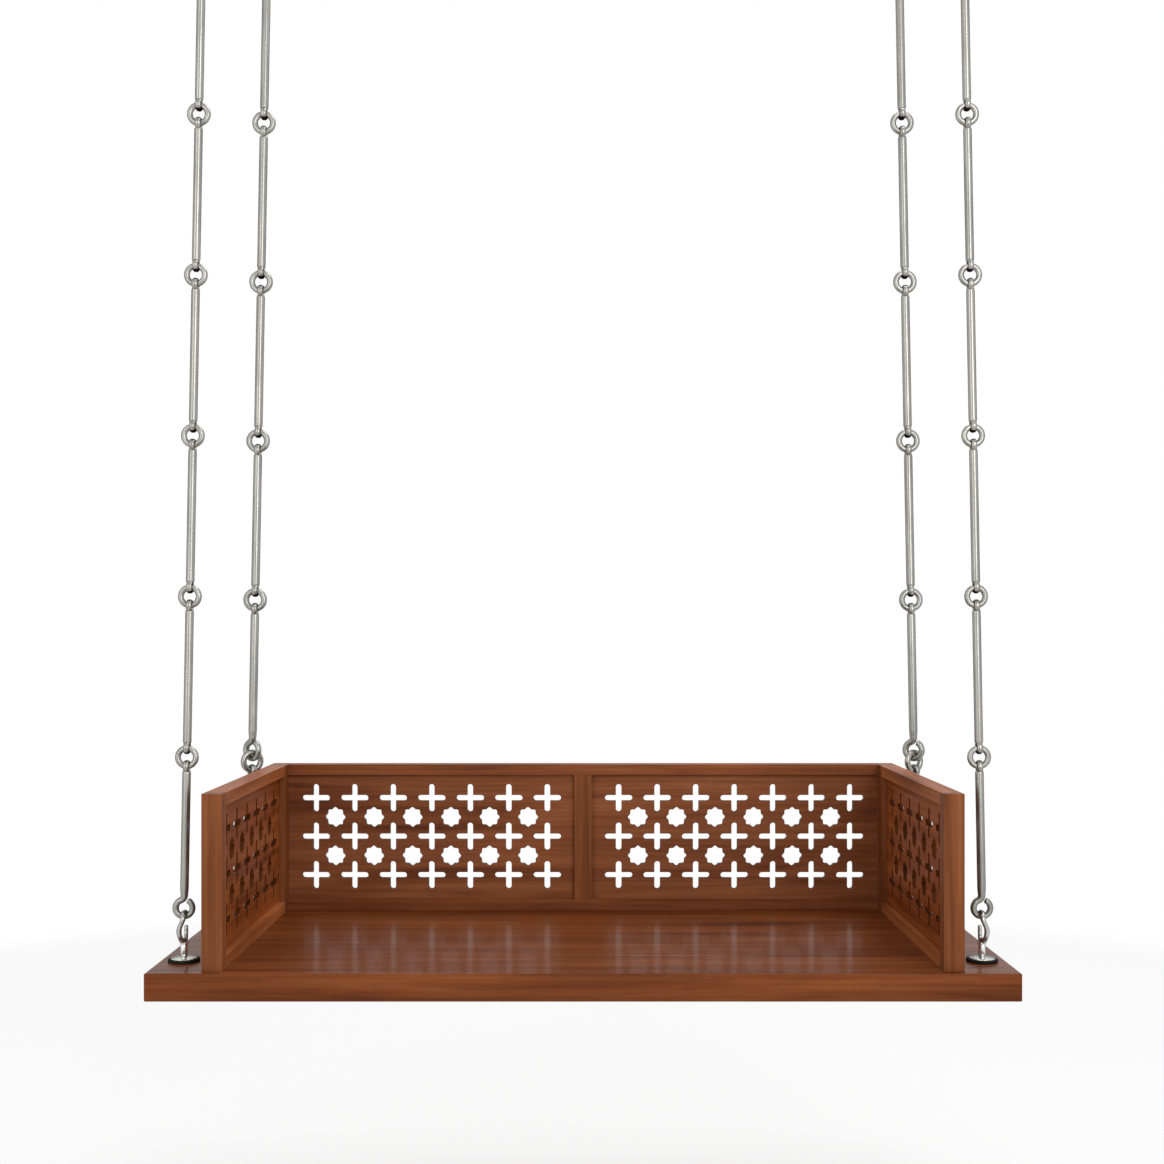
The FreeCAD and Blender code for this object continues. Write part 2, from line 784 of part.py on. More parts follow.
def hook(name, side, end):
    """An open eye bolt: the bent bar, its collar and its threaded shank."""
    corner = corner_place((side, end), 0)
    heading = turned(UP, 90 + side * size("hook_turn"))
    oval = feature(name + "_oval", hook_oval(), corner.multiply(heading))
    collar = prism(
        name + "_collar",
        corner.multiply(at(0, 0, collar_z)),
        DISC_SIDES,
        "sizes.collar_diameter / 2",
        "sizes.collar_height",
    )
    shank = prism(
        name + "_shank",
        corner.multiply(at(0, 0, thread_end_z)),
        SHANK_SIDES,
        "sizes.hook_wire / 2",
        "%s + sizes.collar_height" % SHANK_LENGTH,
    )
    return fused(name, [oval, collar, shank])


def domed_disc(name, corner):
    """A disc with a short rim and a low dome with a flat crown."""
    radius = size("disc_diameter") / 2
    rim = size("disc_rim")
    points = [Vector(0, 0, level) for level in (0, rim, rim + size("disc_dome"))]
    radii = [radius, radius, radius * size("disc_crown_share")]
    place = corner_place(corner, disc_z)
    dome = feature(name + "_dome", bar(points, radii, DISC_SIDES, BACKWARD), place)
    return difference(name, dome, bore(name + "_bore", place, BOLT_BORE, DISC_HEIGHT))


def seat_fittings():
    for side_name, side in SIDES.items():
        pieces = [hook("%s_%s_hook" % (end_name, side_name), side, end) for end_name, end in ENDS.items()]
        node(group(side_name + "_seat_hooks", pieces), side_name + "_seat_hooks")

    stack = {
        "rubber_pad": (pad_z, DISC_SIDES, "sizes.pad_diameter / 2", "sizes.pad_thickness"),
        "spacer": (spacer_z, SPACER_SIDES, "sizes.spacer_diameter / 2", "sizes.spacer_height"),
        "washer": (washer_z, DISC_SIDES, "sizes.washer_diameter / 2", "sizes.washer_thickness"),
        "nut": (nut_z, NUT_SIDES, "sizes.nut_across_flats / 2 / cos(30)", "sizes.nut_height"),
    }
    for kind, (z, sides, radius, height) in stack.items():
        pieces = []
        for index, corner in enumerate(CORNERS):
            pieces.append(washer("%s_%d" % (kind, index), corner_place(corner, z), sides, radius, height))
        node(group(kind + "s", pieces), kind + "s")
    discs = [domed_disc("domed_disc_%d" % index, corner) for index, corner in enumerate(CORNERS)]
    node(group("domed_discs", discs), "domed_discs")


# Ceiling fittings: a flange, and an eye bolt whose stud stands up through the ceiling

def ceiling_place(corner, z):
    side, end = corner
    return at(side * ceiling_x, end * size("hook_spacing_y") / 2, z)


def ceiling_eye(name, corner):
    link = closed_link(ceiling_eye_radius, size("ceiling_eye_wire") / 2, RING_BENDS, LINK_SIDES)
    eye = feature(name + "_link", link, ceiling_place(corner, ceiling_eye_z).multiply(turned(UP, 90)))
    neck = prism(
        name + "_neck",
        ceiling_place(corner, ceiling_eye_z + ceiling_eye_radius),
        SHANK_SIDES,
        "sizes.stud_diameter / 2",
        "sizes.ceiling_eye_wire / 2 + sizes.ceiling_shoulder_height + sizes.flange_thickness",
    )
    shoulder = prism(
        name + "_shoulder",
        ceiling_place(corner, -size("flange_thickness") - size("ceiling_shoulder_height")),
        DISC_SIDES,
        "sizes.ceiling_shoulder_diameter / 2",
        "sizes.ceiling_shoulder_height",
    )
    stud = primitive(
        "Cylinder",
        name + "_stud",
        ceiling_place(corner, 0),
        Radius="sizes.stud_diameter / 2",
        Height="sizes.stud_length",
    )
    return fused(name, [eye, neck, shoulder, stud])


def ceiling_fittings():
    eyes = [ceiling_eye("ceiling_eye_%d" % i, corner) for i, corner in enumerate(CORNERS)]
    node(group("ceiling_eyes", eyes), "ceiling_eyes")
    flanges = []
    for index, corner in enumerate(CORNERS):
        place = ceiling_place(corner, -size("flange_thickness"))
        radius = "sizes.flange_diameter / 2"
        bore_radius = "sizes.stud_diameter / 2 + sizes.bolt_clearance"
        name = "flange_%d" % index
        flanges.append(washer(name, place, DISC_SIDES, radius, "sizes.flange_thickness", bore_radius))
    node(group("ceiling_flanges", flanges), "ceiling_flanges")


seat_board()
for side_name in SIDES:
    arm(side_name)
back()
screws()
seat_fittings()
for side_name in SIDES:
    front_chain(side_name)
    rear_chain(side_name)
ceiling_fittings()
doc.recompute()

# Every object has to be whole before any file is written.
for obj in doc.Objects:
    if "Invalid" in obj.State or "Error" in obj.State:
        raise RuntimeError("failed to build: %s (%s)" % (obj.Label, obj.State))
for piece in nodes:
    if piece.Shape.isNull() or not piece.Shape.isValid() or not piece.Shape.Solids:
        raise RuntimeError("not a valid solid: " + piece.Label)

os.makedirs("parts", exist_ok=True)
for piece in nodes:
    piece.Shape.exportStep("parts/%s.step" % piece.Label)
print("%d nodes, %d solids" % (len(nodes), sum(len(piece.Shape.Solids) for piece in nodes)))
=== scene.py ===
import json
import math

import bmesh
import bpy
from mathutils import Matrix, Vector

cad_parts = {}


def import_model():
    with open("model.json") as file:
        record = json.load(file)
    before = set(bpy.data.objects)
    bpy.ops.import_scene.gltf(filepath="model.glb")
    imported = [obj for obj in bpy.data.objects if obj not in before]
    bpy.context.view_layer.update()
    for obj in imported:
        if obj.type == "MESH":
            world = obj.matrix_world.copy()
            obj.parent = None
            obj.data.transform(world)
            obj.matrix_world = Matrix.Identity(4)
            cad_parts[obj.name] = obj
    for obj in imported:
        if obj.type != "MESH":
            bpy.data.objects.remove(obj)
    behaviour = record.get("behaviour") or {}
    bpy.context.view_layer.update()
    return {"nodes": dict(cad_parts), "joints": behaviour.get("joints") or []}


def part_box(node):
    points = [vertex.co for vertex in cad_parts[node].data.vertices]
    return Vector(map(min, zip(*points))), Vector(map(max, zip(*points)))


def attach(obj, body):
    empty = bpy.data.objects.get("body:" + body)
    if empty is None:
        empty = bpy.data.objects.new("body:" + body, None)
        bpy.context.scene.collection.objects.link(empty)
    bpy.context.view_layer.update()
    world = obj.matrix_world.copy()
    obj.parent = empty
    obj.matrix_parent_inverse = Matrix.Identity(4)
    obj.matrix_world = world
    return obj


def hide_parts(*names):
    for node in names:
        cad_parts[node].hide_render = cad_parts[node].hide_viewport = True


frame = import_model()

# A jhoola: a wooden swing seat with pierced arms and back on four rod-and-ring chains.
# Metres, +Z up, the front faces -Y. The origin is in the ceiling plane.

MM = 0.001
NODES = frame["nodes"]
JOINTS = {joint["name"]: joint for joint in frame["joints"]}
SIDES = {"left": -1, "right": 1}
ENDS = {"front": -1, "rear": 1}
ACROSS = Vector((1, 0, 0))
BACKWARD = Vector((0, 1, 0))
UP = Vector((0, 0, 1))


# Material nodes

class Graph:
    """A material's node tree, with short calls to add and link nodes."""

    def __init__(self, name):
        self.material = bpy.data.materials.new(name)
        self.material.use_nodes = True
        self.tree = self.material.node_tree
        self.shader = self.tree.nodes["Principled BSDF"]

    def add(self, kind, settings=None, **inputs):
        new = self.tree.nodes.new("ShaderNode" + kind)
        for name, value in (settings or {}).items():
            setattr(new, name, value)
        for name, value in inputs.items():
            self.put(new.inputs[name.replace("_", " ")], value)
        return new

    def put(self, socket, value):
        if isinstance(value, bpy.types.NodeSocket):
            self.tree.links.new(value, socket)
        else:
            socket.default_value = value

    def set(self, **inputs):
        for name, value in inputs.items():
            self.put(self.shader.inputs[name.replace("_", " ")], value)

    def place(self, scale, turn=(0, 0, 0)):
        """Points of the object, turned and then stretched."""
        coords = self.add("TexCoord").outputs["Object"]
        turned = self.add("Mapping", Vector=coords, Rotation=turn).outputs[0]
        return self.add("Mapping", Vector=turned, Scale=scale).outputs[0]

    def noise(self, points, scale, detail=3, roughness=0.5, distortion=0):
        made = self.add(
            "TexNoise", Vector=points, Scale=scale, Detail=detail, Roughness=roughness, Distortion=distortion
        )
        return made.outputs["Fac"]

    def remap(self, value, low, high, to_low=0, to_high=1):
        made = self.add("MapRange", Value=value)
        for index, limit in zip((1, 2, 3, 4), (low, high, to_low, to_high)):
            made.inputs[index].default_value = limit
        return made.outputs[0]

    def ramp(self, value, *stops):
        made = self.add("ValToRGB", Fac=value)
        elements = made.color_ramp.elements
        while len(elements) < len(stops):
            elements.new(0.5)
        for element, (position, colour) in zip(elements, stops):
            element.position = position
            element.color = (*colour, 1)
        return made.outputs[0]

    def mix(self, blend, amount, first, second):
        made = self.add("Mix", {"data_type": "RGBA", "blend_type": blend})
        self.put(made.inputs[0], amount)
        for socket, value in ((made.inputs[6], first), (made.inputs[7], second)):
            self.put(socket, value if isinstance(value, bpy.types.NodeSocket) else (*value, 1))
        return made.outputs[2]

    def math(self, operation, first, second):
        made = self.add("Math", {"operation": operation})
        self.put(made.inputs[0], first)
        self.put(made.inputs[1], second)
        return made.outputs[0]

    def bump(self, height, strength, distance):
        made = self.add("Bump", Height=height, Strength=strength, Distance=distance)
        self.put(self.shader.inputs["Normal"], made.outputs[0])


# Turns that bring each grain direction to the texture's X
GRAIN_TURNS = {"x": (0, 0, 0), "y": (0, 0, math.radians(-90)), "z": (0, math.radians(90), 0)}
# The figure's colours, which each wood multiplies by its own tone
DARK_FIGURE = (0.068, 0.0160, 0.0040)
MIDDLE_FIGURE = (0.140, 0.0360, 0.0084)
LIGHT_FIGURE = (0.215, 0.063, 0.0165)
PORE_DEPTH = 0.12 * MM
VARNISH_RIDGE = 0.22 * MM


def wood(name, grain, tone, gloss, streaking):
    """Varnished hardwood with its grain along an axis: figure, fine streaks and short dark pores."""
    graph = Graph(name)
    turn = GRAIN_TURNS[grain]
    figure = graph.noise(graph.place((0.8, 13, 13), turn), 1.7, detail=4, roughness=0.55, distortion=1.1)
    streaks = graph.noise(graph.place((1.1, 75, 75), turn), 1.6, detail=5, roughness=0.62, distortion=0.4)
    pores = graph.noise(graph.place((26, 900, 900), turn), 1, detail=2)
    patches = graph.noise(graph.place((2, 5, 5), turn), 1, detail=2)
    dark, middle, light = (
        tuple(t * c for t, c in zip(tone, colour)) for colour in (DARK_FIGURE, MIDDLE_FIGURE, LIGHT_FIGURE)
    )
    colour = graph.ramp(figure, (0.27, dark), (0.46, middle), (0.74, light))
    streaked = graph.ramp(streaks, (0.30, (0.52, 0.46, 0.42)), (0.62, (1.16, 1.16, 1.16)))
    colour = graph.mix("MULTIPLY", streaking, colour, streaked)
    hue = graph.ramp(patches, (0.35, (0.86, 0.80, 0.80)), (0.65, (1.08, 1.04, 0.98)))
    colour = graph.mix("MULTIPLY", 0.8, colour, hue)
    pore_mask = graph.remap(pores, 0.60, 0.70)
    colour = graph.mix("MIX", graph.math("MULTIPLY", pore_mask, 0.45), colour, dark)
    graph.set(
        Base_Color=colour,
        Roughness=graph.remap(streaks, 0.2, 0.8, 0.54, 0.42),
        Specular_IOR_Level=0.06,
        Coat_Weight=gloss,
        Coat_Roughness=0.12,
        Coat_IOR=1.25,
    )
    height = graph.math("SUBTRACT", graph.math("MULTIPLY", streaks, 0.5), pore_mask)
    graph.bump(height, 0.25, PORE_DEPTH)
    # The varnish keeps faint ridges along the grain, which draw reflections out across it
    ridges = graph.noise(graph.place((3, 330, 330), turn), 1, detail=1)
    varnish = graph.add("Bump", Height=ridges, Strength=1, Distance=VARNISH_RIDGE)
    graph.set(Coat_Normal=varnish.outputs[0])
    return graph.material


MARK_DEPTH = 0.03 * MM


def steel(name, colour, edge, roughness, along, wear, metallic=1):
    """Bright or satin steel: fine marks, longer as along is smaller, faint tarnish and uneven gloss."""
    graph = Graph(name)
    marks = graph.noise(graph.place((700, 700, along)), 1, detail=1)
    tarnish = graph.noise(graph.place((60, 60, 9)), 1, distortion=0.4)
    dull = tuple(wear * c for c in colour)
    tone = graph.ramp(tarnish, (0.36, dull), (0.58, colour))
    graph.set(
        Base_Color=tone,
        Metallic=metallic,
        Specular_Tint=(edge, edge, 0.97 * edge, 1),
        Roughness=graph.remap(marks, 0.25, 0.75, roughness * 0.85, roughness * 1.2),
    )
    graph.bump(marks, 0.04, MARK_DEPTH)
    return graph.material


RUBBER_GRAIN = 0.15 * MM


def rubber(name):
    """Matt black rubber with a fine grain and a little dust."""
    graph = Graph(name)
    grain = graph.noise(graph.place((1, 1, 1)), 900, roughness=0.6)
    dust = graph.noise(graph.place((1, 1, 1)), 60, roughness=0.6)
    graph.set(
        Base_Color=graph.ramp(dust, (0.35, (0.008, 0.007, 0.006)), (0.75, (0.020, 0.018, 0.016))),
        Specular_IOR_Level=0.12,
        Roughness=graph.remap(grain, 0.2, 0.8, 0.75, 0.95),
    )
    graph.bump(grain, 0.3, RUBBER_GRAIN)
    return graph.material


WOODS = {
    "seat_x": wood("seat_wood_x", "x", (1.03, 1.05, 1.08), gloss=0.27, streaking=0.65),
    "frame_x": wood("frame_wood_x", "x", (1.30, 1.50, 2.2), gloss=0.08, streaking=0.55),
    "frame_y": wood("frame_wood_y", "y", (2.15, 2.55, 3.2), gloss=0.06, streaking=0.55),
    "frame_z": wood("frame_wood_z", "z", (1.34, 1.66, 2.4), gloss=0.08, streaking=0.55),
    "fret_x": wood("fret_wood_x", "x", (1.50, 1.90, 3.1), gloss=0.04, streaking=0.50),
    "fret_y": wood("fret_wood_y", "y", (1.66, 1.66, 1.55), gloss=0.04, streaking=0.50),
    # A darker wood for the walls of the fret openings, as painted shade inside the openings
    "cut": wood("cut_wood", "z", (0.50, 0.48, 0.45), gloss=0.0, streaking=0.40),
}
CHAIN_STEEL = steel(
    "chain_steel", (0.338, 0.332, 0.304), edge=0.0, roughness=0.29, along=6, wear=0.80, metallic=0.85
)
# Nearly black steel on the lowest part of the rods' lower eyes, as painted shade where they hang in the rings
EYE_SHADE_STEEL = steel("eye_shade_steel", (0.030, 0.028, 0.025), edge=0.0, roughness=0.5, along=20, wear=0.6)
HOOK_STEEL = steel(
    "hook_steel", (0.47, 0.46, 0.435), edge=0.0, roughness=0.22, along=20, wear=0.85, metallic=0.85
)
BRIGHT_STEEL = steel(
    "bright_steel", (0.82, 0.82, 0.80), edge=0.10, roughness=0.14, along=60, wear=0.92, metallic=0.85
)
SCREW_STEEL = steel("screw_steel", (0.46, 0.45, 0.42), edge=0.50, roughness=0.38, along=200, wear=0.75)
PAD_RUBBER = rubber("pad_rubber")


# Meshes

class Shell:
    """Vertices and faces gathered for one piece."""

    def __init__(self):
        self.verts = []
        self.faces = []

    def add(self, verts, faces, matrix=None):
        start = len(self.verts)
        self.verts += [matrix @ v for v in verts] if matrix else verts
        self.faces += [tuple(start + i for i in face) for face in faces]

    def tube(self, points, radii, normal, closed=False, sides=28, spread=1, matrix=None):
        """A bar along points in one plane, as much wider along that plane's normal as the spread says."""
        count = len(points)
        verts = []
        for i, point in enumerate(points):
            before = points[i - 1] if closed or i else point
            after = points[(i + 1) % count] if closed or i < count - 1 else point
            out = (after - before).normalized().cross(normal)
            for k in range(sides):
                angle = 2 * math.pi * k / sides
                across = out * math.cos(angle) + normal * (spread * math.sin(angle))
                verts.append(point + across * radii[i])
        faces = grid(count, sides, closed)
        if not closed:
            faces.append(tuple(range(sides)))
            faces.append(tuple((count - 1) * sides + k for k in reversed(range(sides))))
        self.add(verts, faces, matrix)

    def lathe(self, profile, x=0, y=0, sides=64, closed=True):
        """A profile of radius and height turned about an upright axis at x, y."""
        verts = []
        for radius, z in profile:
            for k in range(sides):
                angle = 2 * math.pi * k / sides
                verts.append(Vector((x + radius * math.cos(angle), y + radius * math.sin(angle), z)))
        faces = grid(len(profile), sides, closed)
        if not closed:
            faces.append(tuple(range(sides)))
            faces.append(tuple((len(profile) - 1) * sides + k for k in reversed(range(sides))))
        self.add(verts, faces)


def grid(rows, columns, closed):
    """Quads between rows of vertices that each go round in a circle."""
    faces = []
    for i in range(rows if closed else rows - 1):
        here = i * columns
        there = (i + 1) % rows * columns
        for k in range(columns):
            following = (k + 1) % columns
            faces.append((here + k, there + k, there + following, here + following))
    return faces


def finished(obj, material, body, nodes):
    """Give a piece its material and body, and hide the model's nodes that it replaces."""
    obj.data.materials.clear()
    obj.data.materials.append(material)
    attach(obj, body)
    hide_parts(*nodes)
    return obj


def build(name, shell, material, body, nodes, sharp=40):
    """The object for a shell, shaded smooth but for edges sharper than an angle in degrees."""
    mesh = bpy.data.meshes.new(name)
    mesh.from_pydata(shell.verts, [], shell.faces)
    work = bmesh.new()
    work.from_mesh(mesh)
    bmesh.ops.recalc_face_normals(work, faces=work.faces)
    work.to_mesh(mesh)
    work.free()
    mesh.shade_smooth()
    mesh.set_sharp_from_angle(angle=math.radians(sharp))
    obj = bpy.data.objects.new(name, mesh)
    bpy.context.scene.collection.objects.link(obj)
    return finished(obj, material, body, nodes)


def arc(centre, radius, start, end, step=6):
    """Points about a centre in the XZ plane, angles in degrees from +X towards +Z."""
    count = max(2, round(abs(end - start) / step))
    points = []
    for i in range(count + 1):
        angle = math.radians(start + (end - start) * i / count)
        points.append(centre + Vector((radius * math.cos(angle), 0, radius * math.sin(angle))))
    return points


TIP_LENGTH_SHARE = 0.4
TIP_ANGLES = (20, 40, 60, 78, 88)


def round_tip(points, radius):
    """Points and radii that carry a bar on past its last point to a rounded end."""
    heading = (points[-1] - points[-2]).normalized()
    extra = []
    radii = []
    for degrees in TIP_ANGLES:
        angle = math.radians(degrees)
        extra.append(points[-1] + heading * (TIP_LENGTH_SHARE * radius * math.sin(angle)))
        radii.append(radius * math.cos(angle))
    return extra, radii


THREAD_DEPTH_SHARE = 0.55
THREAD_START_SHARE = 0.7


def thread(shell, x, y, low, high, radius, pitch, sides=24, rows_per_turn=6):
    """A screw thread up an upright axis, its crests at the radius but for a narrower first turn."""
    depth = THREAD_DEPTH_SHARE * pitch
    rows = int((high - low) / pitch * rows_per_turn)
    verts = []
    for row in range(rows + 1):
        z = low + (high - low) * row / rows
        taper = min(1, THREAD_START_SHARE + (1 - THREAD_START_SHARE) * (z - low) / pitch)
        for k in range(sides):
            turn = k / sides
            phase = (row / rows_per_turn - turn) % 1
            reach = (radius - depth * abs(2 * phase - 1)) * taper
            angle = 2 * math.pi * turn
            verts.append(Vector((x + reach * math.cos(angle), y + reach * math.sin(angle), z)))
    faces = grid(rows + 1, sides, False)
    faces.append(tuple(range(sides)))
    faces.append(tuple(rows * sides + k for k in reversed(range(sides))))
    shell.add(verts, faces)


HEXAGON_FACE_SHARE = 0.96
HEXAGON_CHAMFER_ANGLE = 28


def hexagon(shell, x, y, low, high, across, bore, sides=72):
    """A bored hexagon with its corners chamfered, as a nut or a bolt's head is."""
    face_radius = HEXAGON_FACE_SHARE * across / 2
    ease = math.tan(math.radians(HEXAGON_CHAMFER_ANGLE))
    columns = []
    for k in range(sides):
        angle = 2 * math.pi * k / sides
        from_flat = (math.degrees(angle) + 30) % 60 - 30
        reach = across / 2 / math.cos(math.radians(from_flat))
        drop = max(0, reach - face_radius) * ease
        columns.append((angle, [
            (bore, low), (bore, high), (face_radius, high), (reach, high - drop), (reach, low + drop),
            (face_radius, low),
        ]))
    verts = []
    rows = len(columns[0][1])
    for row in range(rows):
        for angle, profile in columns:
            radius, z = profile[row]
            verts.append(Vector((x + radius * math.cos(angle), y + radius * math.sin(angle), z)))
    shell.add(verts, grid(rows, sides, True))


# Wood: each solid piece of the model gets its edges softened

MERGE_DISTANCE = 0.002 * MM
FLAT_ANGLE = 1
SHARP_ANGLE = 30


def softened(node, material, width):
    """A copy of a wooden piece of the model with its sharp edges rounded by a width."""
    mesh = NODES[node].data.copy()
    if "custom_normal" in mesh.attributes:
        mesh.attributes.remove(mesh.attributes["custom_normal"])
    work = bmesh.new()
    work.from_mesh(mesh)
    bmesh.ops.remove_doubles(work, verts=work.verts, dist=MERGE_DISTANCE)
    flat = math.radians(FLAT_ANGLE)
    bmesh.ops.dissolve_limit(work, angle_limit=flat, verts=work.verts, edges=work.edges)
    bmesh.ops.recalc_face_normals(work, faces=work.faces)
    least = math.radians(SHARP_ANGLE)
    sharp = [edge for edge in work.edges if len(edge.link_faces) == 2 and edge.calc_face_angle() > least]
    bmesh.ops.bevel(
        work, geom=sharp, offset=width, segments=2, profile=0.5, affect="EDGES", clamp_overlap=True
    )
    work.to_mesh(mesh)
    work.free()
    mesh.shade_smooth()
    obj = bpy.data.objects.new(node + "_wood", mesh)
    bpy.context.scene.collection.objects.link(obj)
    weighted = obj.modifiers.new("flat faces", "WEIGHTED_NORMAL")
    weighted.mode = "FACE_AREA"
    weighted.weight = 100
    return finished(obj, material, "seat", [node])


# Jaali fretwork

FRET_PITCH = 82.9 * MM
FRET_MARGIN = 15 * MM
CROSS_SPAN = 59.3 * MM
CROSS_SLOT = 12.2 * MM
CROSS_END_STEPS = 8
STAR_DIAMETER = 44 * MM
STAR_INNER_SHARE = 0.81
STAR_POINTS = 8
PANEL_EDGE = 7 * MM
PANEL_SOFTENING = 0.5 * MM
PANEL_SHARP_ANGLE = 25
# A face belongs to an opening's wall where its normal leans less than this towards the panel's own
WALL_LEAN = 0.3


def cross_outline():
    """Two crossed slots with round ends."""
    half = CROSS_SLOT / 2
    centre = CROSS_SPAN / 2 - half
    points = []
    for quarter in range(4):
        turn = math.radians(90 * quarter)
        arm = [(half, -half)]
        for step in range(CROSS_END_STEPS + 1):
            angle = math.radians(-90 + 180 * step / CROSS_END_STEPS)
            arm.append((centre + half * math.cos(angle), half * math.sin(angle)))
        for a, b in arm:
            points.append((a * math.cos(turn) - b * math.sin(turn), a * math.sin(turn) + b * math.cos(turn)))
    return points


def star_outline():
    """Eight blunt points between eight hollows."""
    reach = STAR_DIAMETER / 2
    between = (1 + STAR_INNER_SHARE) / 2
    shares = (1, between, STAR_INNER_SHARE, between) * STAR_POINTS
    points = []
    for step, share in enumerate(shares):
        angle = math.radians(360 * step / len(shares))
        points.append((share * reach * math.cos(angle), share * reach * math.sin(angle)))
    return points


def fret_line(clear):
    """Where the crosses stand along a clear length, centred in it."""
    gaps = int((clear - CROSS_SPAN - 2 * FRET_MARGIN) / FRET_PITCH)
    start = (clear - gaps * FRET_PITCH) / 2
    return [start + index * FRET_PITCH for index in range(gaps + 1)]


def fret_panel(node, along, material):
    """A pierced panel where the model has it: an outline with holes, thickened and softened."""
    low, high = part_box(node)
    long_axis = "xyz".index(along)
    length = high[long_axis] - low[long_axis]
    height = high.z - low.z
    thickness = high[1 - long_axis] - low[1 - long_axis]
    curve = bpy.data.curves.new(node, "CURVE")
    curve.dimensions = "2D"
    curve.fill_mode = "BOTH"
    curve.extrude = thickness / 2 - PANEL_SOFTENING
    curve.bevel_depth = PANEL_SOFTENING
    curve.bevel_resolution = 0
    curve.offset = -PANEL_SOFTENING

    def outline(points):
        spline = curve.splines.new("POLY")
        spline.points.add(len(points) - 1)
        for point, (a, b) in zip(spline.points, points):
            point.co = (a, b, 0, 1)
        spline.use_cyclic_u = True

    outline([(0, 0), (length, 0), (length, height), (0, height)])
    columns = [PANEL_EDGE + a for a in fret_line(length - 2 * PANEL_EDGE)]
    rows = [PANEL_EDGE + b for b in fret_line(height - 2 * PANEL_EDGE)]
    for a in columns:
        for b in rows:
            outline([(a + p, b + q) for p, q in reversed(cross_outline())])
    for a in columns[:-1]:
        for b in rows[:-1]:
            middle = (a + FRET_PITCH / 2, b + FRET_PITCH / 2)
            outline([(middle[0] + p, middle[1] + q) for p, q in reversed(star_outline())])
    flat = bpy.data.objects.new(node + "_outline", curve)
    bpy.context.scene.collection.objects.link(flat)
    bpy.context.view_layer.update()
    mesh = bpy.data.meshes.new_from_object(flat.evaluated_get(bpy.context.evaluated_depsgraph_get()))
    bpy.data.objects.remove(flat)
    middle = (low + high) / 2
    if along == "x":
        placed = Matrix(((1, 0, 0, low.x), (0, 0, -1, middle.y), (0, 1, 0, low.z), (0, 0, 0, 1)))
    else:
        placed = Matrix(((0, 0, 1, middle.x), (1, 0, 0, low.y), (0, 1, 0, low.z), (0, 0, 0, 1)))
    mesh.transform(placed)
    work = bmesh.new()
    work.from_mesh(mesh)
    bmesh.ops.remove_doubles(work, verts=work.verts, dist=MERGE_DISTANCE)
    bmesh.ops.recalc_face_normals(work, faces=work.faces)
    work.to_mesh(mesh)
    work.free()
    mesh.shade_smooth()
    mesh.set_sharp_from_angle(angle=math.radians(PANEL_SHARP_ANGLE))
    obj = bpy.data.objects.new(node + "_jaali", mesh)
    bpy.context.scene.collection.objects.link(obj)
    finished(obj, material, "seat", [node])
    # The walls of the openings get a darker, unvarnished wood as painted shade inside the openings
    mesh.materials.append(WOODS["cut"])
    for face in mesh.polygons:
        if abs(face.normal[1 - long_axis]) < WALL_LEAN:
            face.material_index = 1


SEAT_EDGE = 0.9 * MM
EDGE = 0.7 * MM

softened("seat_board", WOODS["seat_x"], SEAT_EDGE)
for side in SIDES:
    arm = side + "_arm_"
    softened(arm + "stiles", WOODS["frame_z"], EDGE)
    softened(arm + "top_rail", WOODS["frame_y"], EDGE)
    softened(arm + "bottom_rail", WOODS["frame_y"], EDGE)
    fret_panel(arm + "panel", "y", WOODS["fret_y"])
softened("back_end_stiles", WOODS["frame_z"], EDGE)
softened("back_top_rail", WOODS["frame_x"], EDGE)
softened("back_bottom_rail", WOODS["frame_x"], EDGE)
softened("back_mullion", WOODS["frame_z"], EDGE)
fret_panel("back_left_panel", "x", WOODS["fret_x"])
fret_panel("back_right_panel", "x", WOODS["fret_x"])


# Chains

RING_NUMBERS = range(1, 6)
REAR_SHARE = 1.19

# The links of the front chains
ROD_RADIUS = 7.6 * MM
ROD_SHOULDER = 14 * MM
ROD_SHOULDER_STEPS = 7
RING_OUTER_RADIUS = 21.5 * MM
RING_WIRE_RADIUS = 5.25 * MM
ROD_EYE_WIRE_RADIUS = 2.75 * MM
ROD_EYE_ROOM = 1 * MM
# A rod's eye is a bar 5.5 mm thick and 10 mm wide
ROD_EYE_SPREAD = 10 / 5.5
# The blunt end of a rod on its eye, in mm: radius against height from the middle of the eye's wire
BLUNT_END = [
    (7.6, 3.2), (7.55, 2.0), (7.35, 0.9), (6.95, -0.1), (6.35, -1.0), (5.55, -1.7), (4.5, -2.2), (3.0, -2.45),
]

# The open loops at the chains' ends
LOOP_RADIUS = 15.25 * MM
LOOP_WIRE_RADIUS = 5.25 * MM
LOOP_BEND = 10 * MM
LOOP_NECK_WIRE_RADIUS = 6.8 * MM
LOOP_NECK_TAPER = 0.9 * MM
LOOP_TIP_ANGLE = 60
# A loop's bar is thinnest farthest from its rod and this much thicker a quarter turn before and after
LOOP_SWELL_BEFORE = 0.5 * MM
LOOP_SWELL_AFTER = 0.1 * MM

HOOK_LOOP_TURN = -32
LOW_RING_TURN = 34
LOW_EYE_TURN = 40
LINK_GAP = 0.3 * MM
HOOK_LINK_GAP = 0.7 * MM
LINK_STEPS = 60
# The steps of a whole link and of its upper and lower part, which share their end steps
LINK_PARTS = {None: range(LINK_STEPS), "upper": range(-7, 38), "lower": range(37, 54)}


